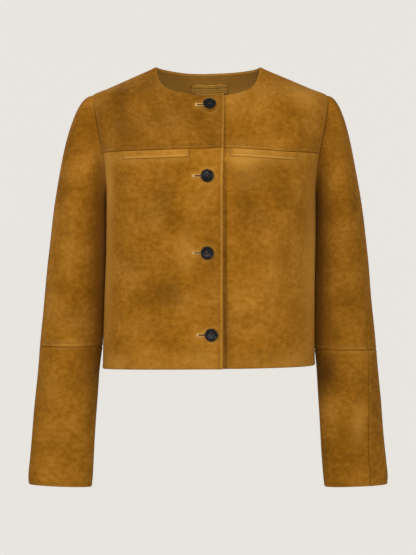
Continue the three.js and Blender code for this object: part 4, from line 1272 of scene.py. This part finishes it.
def put_turnings(name, path, out, depth, closed=False):
    """A strip as wide as both turnings along a seam's path, sunk by a depth. Its facing is the
    mean of the path's over a short way, so that it goes round a corner without a fold."""
    reach = 6
    if closed:
        before, after = out[-reach:], out[:reach]
    else:
        before, after = out[:1].repeat(reach, 0), out[-1:].repeat(reach, 0)
    padded = np.concatenate([before, out, after])
    out = unit(sum(padded[k : k + len(out)] for k in range(2 * reach + 1)))
    across = unit(np.cross(out, unit(np.gradient(path, axis=0))))
    share = np.linspace(-0.5, 0.5, 7)[:, None, None]
    points = path - out * depth + across * TURNING_WIDTH * share
    out = np.broadcast_to(out, points.shape)
    strip = put_cloth(name, points, out, Relief(points), suede, wall=TURNING_WALL, number=20)


for side, side_name in ((RIGHT, "right"), (LEFT, "left")):
    turn = np.linspace(0, 2 * np.pi, 180)
    z = lerp(SHOULDER_Z, UNDERARM_Z, (1 - np.cos(turn)) / 2)
    ahead, behind = (armhole_angle(side, z, face) for face in ("front", "back"))
    out = torso_facing(np.where(np.sin(turn) >= 0, ahead, behind), z)
    path = armhole_place(side, turn)
    put_turnings(f"armhole_turnings_{side_name}", path, out, 2.5, closed=True)
for name, path, out, depth in seams:
    put_turnings(name, path, out, depth)


# Topstitching
# Rows of tonal thread hold the turnings along the yoke seam, armholes, placket, welts, elbow
# seams and cuffs. Each stitch is a short loop of thread that rises from the nap and dives back.

THREAD_RADIUS = 0.34
STITCH_SHARES = np.array([0.02, 0.16, 0.5, 0.84, 0.98])
STITCH_GIRTH = np.array([0.25, 0.9, 1, 0.9, 0.25])
thread = new_material("polyester_thread")
# Spun polyester, dyed to the suede and a little lighter; its slight gloss breaks up along it
thread_place = add_node(thread, "ShaderNodeTexCoord").outputs["Object"]
twist = add_noise(thread, thread_place, 420, 2)
tone = add_ramp(thread, twist, ((0.35, "#8f5f1c"), (0.65, "#bd8a3e")))
add_finish(thread, {"Roughness": 0.8, "Specular IOR Level": 0.12}, {"Base Color": tone})


def spindles(centres, along, out, radii, sides=5):
    """Closed spindles of thread: centres and radii give each one's rings, along and out the way
    that it runs and faces. A ring turns round the run by even steps."""
    count, rings = radii.shape
    side = unit(np.cross(along, out))
    turn = np.arange(sides) * 2 * np.pi / sides
    ring = np.cos(turn)[:, None] * out[:, :, None] + np.sin(turn)[:, None] * side[:, :, None]
    points = centres[:, :, None] + ring * radii[..., None, None]
    ids = np.arange(count * rings * sides).reshape(count, rings, sides)
    after = np.roll(ids, -1, axis=2)
    walls = np.stack([ids[:, :-1], after[:, :-1], after[:, 1:], ids[:, 1:]], axis=-1)
    ends = [ids[:, 0, ::-1], ids[:, -1]]
    points = points.reshape(-1, 3)
    return points, outward(points, [walls.reshape(-1, 4), *ends])


def stitches(path, out, pitch):
    """Stitches laid end to end along a path, each as long as four fifths of the pitch, over a
    low arch that starts and ends under the nap."""
    gone = np.concatenate([[0], np.cumsum(np.linalg.norm(np.diff(path, axis=0), axis=1))])
    count = max(int(gone[-1] / pitch), 1)
    start = (np.arange(count) + 0.1) * gone[-1] / count
    at = start[:, None] + STITCH_SHARES * 0.8 * pitch
    spots = np.stack([np.interp(at, gone, path[:, i]) for i in range(3)], axis=-1)
    face = unit(np.stack([np.interp(at, gone, out[:, i]) for i in range(3)], axis=-1))
    arch = 0.75 * np.sin(np.pi * STITCH_SHARES) - 0.45
    along = unit(np.gradient(spots, axis=1))
    girth = THREAD_RADIUS * STITCH_GIRTH + 0 * at
    return spindles(spots + face * arch[:, None], along, face, girth)


def put_joined(name, parts, material):
    """One object of many closed pieces, each a set of points and its blocks of faces."""
    points, blocks, start = [], [], 0
    for part_points, part_faces in parts:
        points.append(part_points)
        blocks += [block + start for block in part_faces]
        start += len(part_points)
    piece = put_mesh(name, np.concatenate(points), blocks)
    piece.data.materials.append(material)
    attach(piece, "root")
    return piece


rows_of_stitches = [stitches(path, out, pitch) for path, out, pitch in stitch_rows]
topstitching = put_joined("topstitching", rows_of_stitches, thread)


# Buttonholes
# Four level slits in the placket, each worked round with close thread stitches and barred at
# its outer end. The thread is paler than the suede where it is drawn tight over the lips.

LIP_STITCH = 0.85  # between two stitches
LIP_REACH = (0.75, 2.6)  # from the slit's middle to the stitches' outer ends
LIP_RISE, LIP_GIRTH = (-0.5, 0.55, 0.75, 0.5, -0.35), (0.6, 1, 1, 1, 0.5)
BAR_RISE, BAR_GIRTH = (-0.4, 0.6, 0.8, 0.6, -0.4), (0.5, 1, 1, 1, 0.5)


def worked(x, z, rise, girth):
    """Stitches on the right front, a row of places for each, which rise from the suede and dive
    back as the rises say."""
    points, out = on_skin(pair(front_angle(x, z), z))
    along = unit(np.gradient(points, axis=1))
    rise = LIFT + np.array(rise)
    return spindles(points + out * rise[:, None], along, out, girth + 0 * x)


lip_parts = []
for x, z, _ in BUTTONS:
    count = int((BUTTONHOLE_OUT + BUTTONHOLE_IN) / LIP_STITCH)
    across = np.linspace(x - BUTTONHOLE_OUT, x + BUTTONHOLE_IN, count)
    reach = lerp(*LIP_REACH, np.linspace(0, 1, 5))
    for way in (1, -1):
        at_x = across[:, None] + 0.12 * np.sin(9 * across)[:, None] + 0 * reach
        at_z = z + way * reach * (1 + 0.06 * np.sin(5 * across)[:, None])
        lip_parts.append(worked(at_x, at_z, LIP_RISE, 0.42 * np.array(LIP_GIRTH)))
    bar = np.linspace(-2.9, 2.9, 5)
    offsets = np.array([-2.2, -1.5, -0.8, -0.1])
    at_x = x - BUTTONHOLE_OUT + offsets[:, None] + 0 * bar
    lip_parts.append(worked(at_x, z + bar + 0 * at_x, BAR_RISE, 0.45 * np.array(BAR_GIRTH)))
# Silk twist, paler than the suede and a little shiny where it is drawn tight
twist_thread = new_material("buttonhole_twist")
values = {"Base Color": linear("#d2a86a"), "Roughness": 0.6, "Specular IOR Level": 0.25}
add_finish(twist_thread, values)
buttonholes = put_joined("buttonhole_stitches", lip_parts, twist_thread)


# Buttons
# Four turned buttons of polished dark resin, 20 mm across, with a raised rim and four holes. Each
# is sewn to the left front through its shank of thread, and comes out through its buttonhole.

BUTTON_RADIUS, SHANK_RADIUS = 10.1, 1.5
THREAD_CIRCLE, THREAD_HOLE = 2.6, 0.95
DRILL = np.array([(0.01, -1.0), (THREAD_HOLE, -1.0), (THREAD_HOLE, 5.0), (0.01, 5.0)])
BUTTON_PROFILE = np.array(  # radius and height up from the underside's middle
    [
        (0.01, 0.0),
        (4, 0.0),
        (7.2, 0.1),
        (8.7, 0.5),
        (9.6, 1.2),
        (10.0, 2.0),
        (10.05, 2.7),
        (9.8, 3.4),
        (9.3, 3.9),
        (8.6, 4.1),
        (7.9, 3.95),
        (7.2, 3.5),
        (6.6, 3.05),
        (5.8, 2.85),
        (4.4, 2.75),
        (3.4, 2.68),
        (1.8, 2.6),
        (0.01, 2.58),
    ]
)
resin = new_material("polished_resin")
# Cast polyester resin, near black with a blue cast and faint paler veins, polished to a gloss
resin_place = add_node(resin, "ShaderNodeTexCoord").outputs["Object"]
veins = add_noise(resin, resin_place, 130, 4, 0.6, 2.5)
tone = add_ramp(resin, veins, ((0.42, "#050506"), (0.75, "#15131a")))
scratches = {"Value": add_noise(resin, resin_place, 900, 3)}
gloss = add_node(resin, "ShaderNodeMapRange", {"To Min": 0.16, "To Max": 0.34}, scratches)
add_finish(
    resin,
    {"IOR": 1.54, "Specular IOR Level": 0.11},
    {"Base Color": tone, "Roughness": gloss.outputs["Result"]},
)


def turned_disc(profile, sides=48):
    """A profile of radii and heights carried round an axis by even steps, closed at both ends."""
    turn = np.arange(sides) * 2 * np.pi / sides
    round_it = np.stack([np.cos(turn), np.sin(turn), 0 * turn], axis=-1)
    points = profile[:, :1, None] * round_it + profile[:, 1:, None] * np.array([0, 0, 1.0])
    ids = np.arange(points.shape[0] * sides).reshape(-1, sides)
    after = np.roll(ids, -1, axis=1)
    walls = np.stack([ids[:-1], after[:-1], after[1:], ids[1:]], axis=-1).reshape(-1, 4)
    points = points.reshape(-1, 3)
    return points, outward(points, [walls, ids[:1, ::-1], ids[-1:]])


sewn_parts = []
for number, (x, z, lean) in enumerate(BUTTONS, 1):
    level = np.array([float(z)])
    angle = front_angle(np.array([float(x)]), level)
    spot, normal = torso_skin(angle, level)[0], torso_facing(angle, level)[0]
    tip = np.radians(-lean)
    axis = normal * np.cos(tip) + np.cross([1, 0, 0], normal) * np.sin(tip)
    clearance = LAY_GAP + BUTTON_RADIUS * np.sin(np.radians(lean))
    seat = spot + normal * (LIFT + clearance)
    across = unit(np.cross([0, 0, 1.0], axis))
    frame_of_it = np.stack([across, np.cross(axis, across), axis])
    points, faces = turned_disc(BUTTON_PROFILE)
    button = put_mesh(f"resin_button_{number}", points @ frame_of_it + seat, faces)
    button.data.materials.append(resin)
    holes = [np.array([np.cos(t), np.sin(t)]) * THREAD_CIRCLE for t in QUARTER * np.arange(0.5, 4)]
    cutter_parts = []
    for hole in holes:
        drill_points, drill_faces = turned_disc(DRILL, sides=16)
        moved = (drill_points + np.array([*hole, 0])) @ frame_of_it + seat
        cutter_parts.append((moved, drill_faces))
    cutter = put_joined(f"drill_{number}", cutter_parts, resin)
    cut = button.modifiers.new("thread holes", "BOOLEAN")
    cut.object, cut.operation, cut.solver = cutter, "DIFFERENCE", "EXACT"
    drilled = bpy.data.meshes.new_from_object(
        button.evaluated_get(bpy.context.evaluated_depsgraph_get())
    )
    button.modifiers.clear()
    button.data = drilled
    bpy.data.objects.remove(cutter)
    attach(button, "root")
    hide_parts(f"button_{number}")
    # Thread: two crossed bars on the face, sunk into the holes, and the wound shank behind
    for first, second in ((0, 2), (1, 3)):
        share = np.linspace(0, 1, 7)
        flat = lerp(holes[first], holes[second], share[:, None])
        height = 2.9 + 0.5 * np.sin(np.pi * share) - 1.6 * (np.abs(share - 0.5) > 0.45)
        for shift in (-0.35, 0.35):
            aside = unit(np.array([[holes[first][1], -holes[first][0]]]))[0] * shift
            local = np.concatenate([flat + aside, height[:, None]], axis=1)
            run = (local @ frame_of_it + seat)[None]
            along = unit(np.gradient(run, axis=1))
            face = np.broadcast_to(axis, run.shape)
            sewn_parts.append(spindles(run, along, face, np.full((1, 7), 0.4), sides=6))
    rings = np.linspace(0.4, LIFT + clearance + 0.3, 7)
    run = (spot + normal * rings[:, None])[None]
    along = np.broadcast_to(normal, run.shape)
    face = np.broadcast_to(unit(np.cross(normal, [0, 0, 1.0])), run.shape)
    girth = SHANK_RADIUS * (1 + 0.06 * np.cos(np.pi * np.arange(7)))[None]
    sewn_parts.append(spindles(run, along, face, girth, sides=12))

button_thread = new_material("waxed_button_thread")
# Waxed dark thread, drawn tight through the holes, so that it is a little shiny
values = {"Base Color": linear("#2a2018"), "Roughness": 0.5, "Specular IOR Level": 0.4}
add_finish(button_thread, values)
sewn_on = put_joined("button_thread", sewn_parts, button_thread)


# Studio
# A round cove of pale paper, floor and wall in one sweep. Soft lights stand on both sides of the
# camera, by it, below it, above the jacket and behind it. The jacket hangs well above the floor.

FLOOR_Z, COVE_RADIUS, COVE_HEIGHT, COVE_BEND = -4200.0, 9000.0, 17000.0, 2500.0
paper = new_material("pale_paper")
# Matt seamless paper, evenly lit; the light of its own stands for the lamps that wash it
add_finish(
    paper,
    {
        "Base Color": linear("#c9c6c1"),
        "Roughness": 1.0,
        "Specular IOR Level": 0.0,
        "Emission Color": linear("#e4e1dc"),
        "Emission Strength": 0.78,
    },
)
sweep = np.linspace(0, QUARTER, 13)
bend = np.stack([COVE_RADIUS - COVE_BEND * (1 - np.sin(sweep)), COVE_BEND * (1 - np.cos(sweep))], 1)
cove_profile = np.concatenate([[(10.0, 0.0)], bend, [(COVE_RADIUS, COVE_HEIGHT)]])
cove_points, cove_faces = turned_disc(cove_profile, sides=96)
cove = put_mesh("cove", cove_points + np.array([0, 0, FLOOR_Z]), cove_faces[:2])  # open above
cove.data.materials.append(paper)
cove.visible_diffuse = False


def put_lamp(name, place, aim, size, watts):
    """A square area light that faces a place."""
    lamp = bpy.data.lights.new(name, "AREA")
    lamp.shape, lamp.size, lamp.energy = "SQUARE", size, watts
    holder = bpy.data.objects.new(name, lamp)
    bpy.context.scene.collection.objects.link(holder)
    toward = np.array(place) - np.array(aim)
    away = np.hypot(toward[0], toward[1])
    holder.location = place
    holder.visible_camera = False
    holder.rotation_euler = (np.arctan2(away, toward[2]), 0, np.arctan2(toward[0], -toward[1]))


for name, place, aim_z, size, watts in (
    ("key_light", (-2.7, -2.9, 1.3), -0.3, 1.5, 80),
    ("fill_light", (2.8, -3.0, 0.7), -0.35, 1.8, 48),
    ("front_light", (0.1, -3.8, 0.15), -0.2, 1.0, 34),
    ("low_light", (0.2, -3.2, -1.25), -0.2, 2.0, 14),
    ("top_light", (0, -0.4, 3.0), -0.2, 2.4, 16),
    ("back_light", (-0.6, 3.2, 2.0), -0.3, 2.2, 46),
):
    put_lamp(name, place, (0, 0, aim_z), size, watts)

world = bpy.data.worlds.new("studio")
world.use_nodes = True
sky = world.node_tree.nodes["Background"]
sky.inputs["Color"].default_value = linear("#f2f1ee")
sky.inputs["Strength"].default_value = 0.28
bpy.context.scene.world = world

lens = bpy.data.cameras.new("camera")
lens.lens, lens.sensor_width, lens.clip_end = 145.9, 36, 100
camera = bpy.data.objects.new("camera", lens)
bpy.context.scene.collection.objects.link(camera)
camera.location = (0.0, -3.6, -0.3368)
camera.rotation_euler = (QUARTER, 0, 0)
bpy.context.scene.camera = camera
bpy.context.scene.view_settings.view_transform = "Standard"
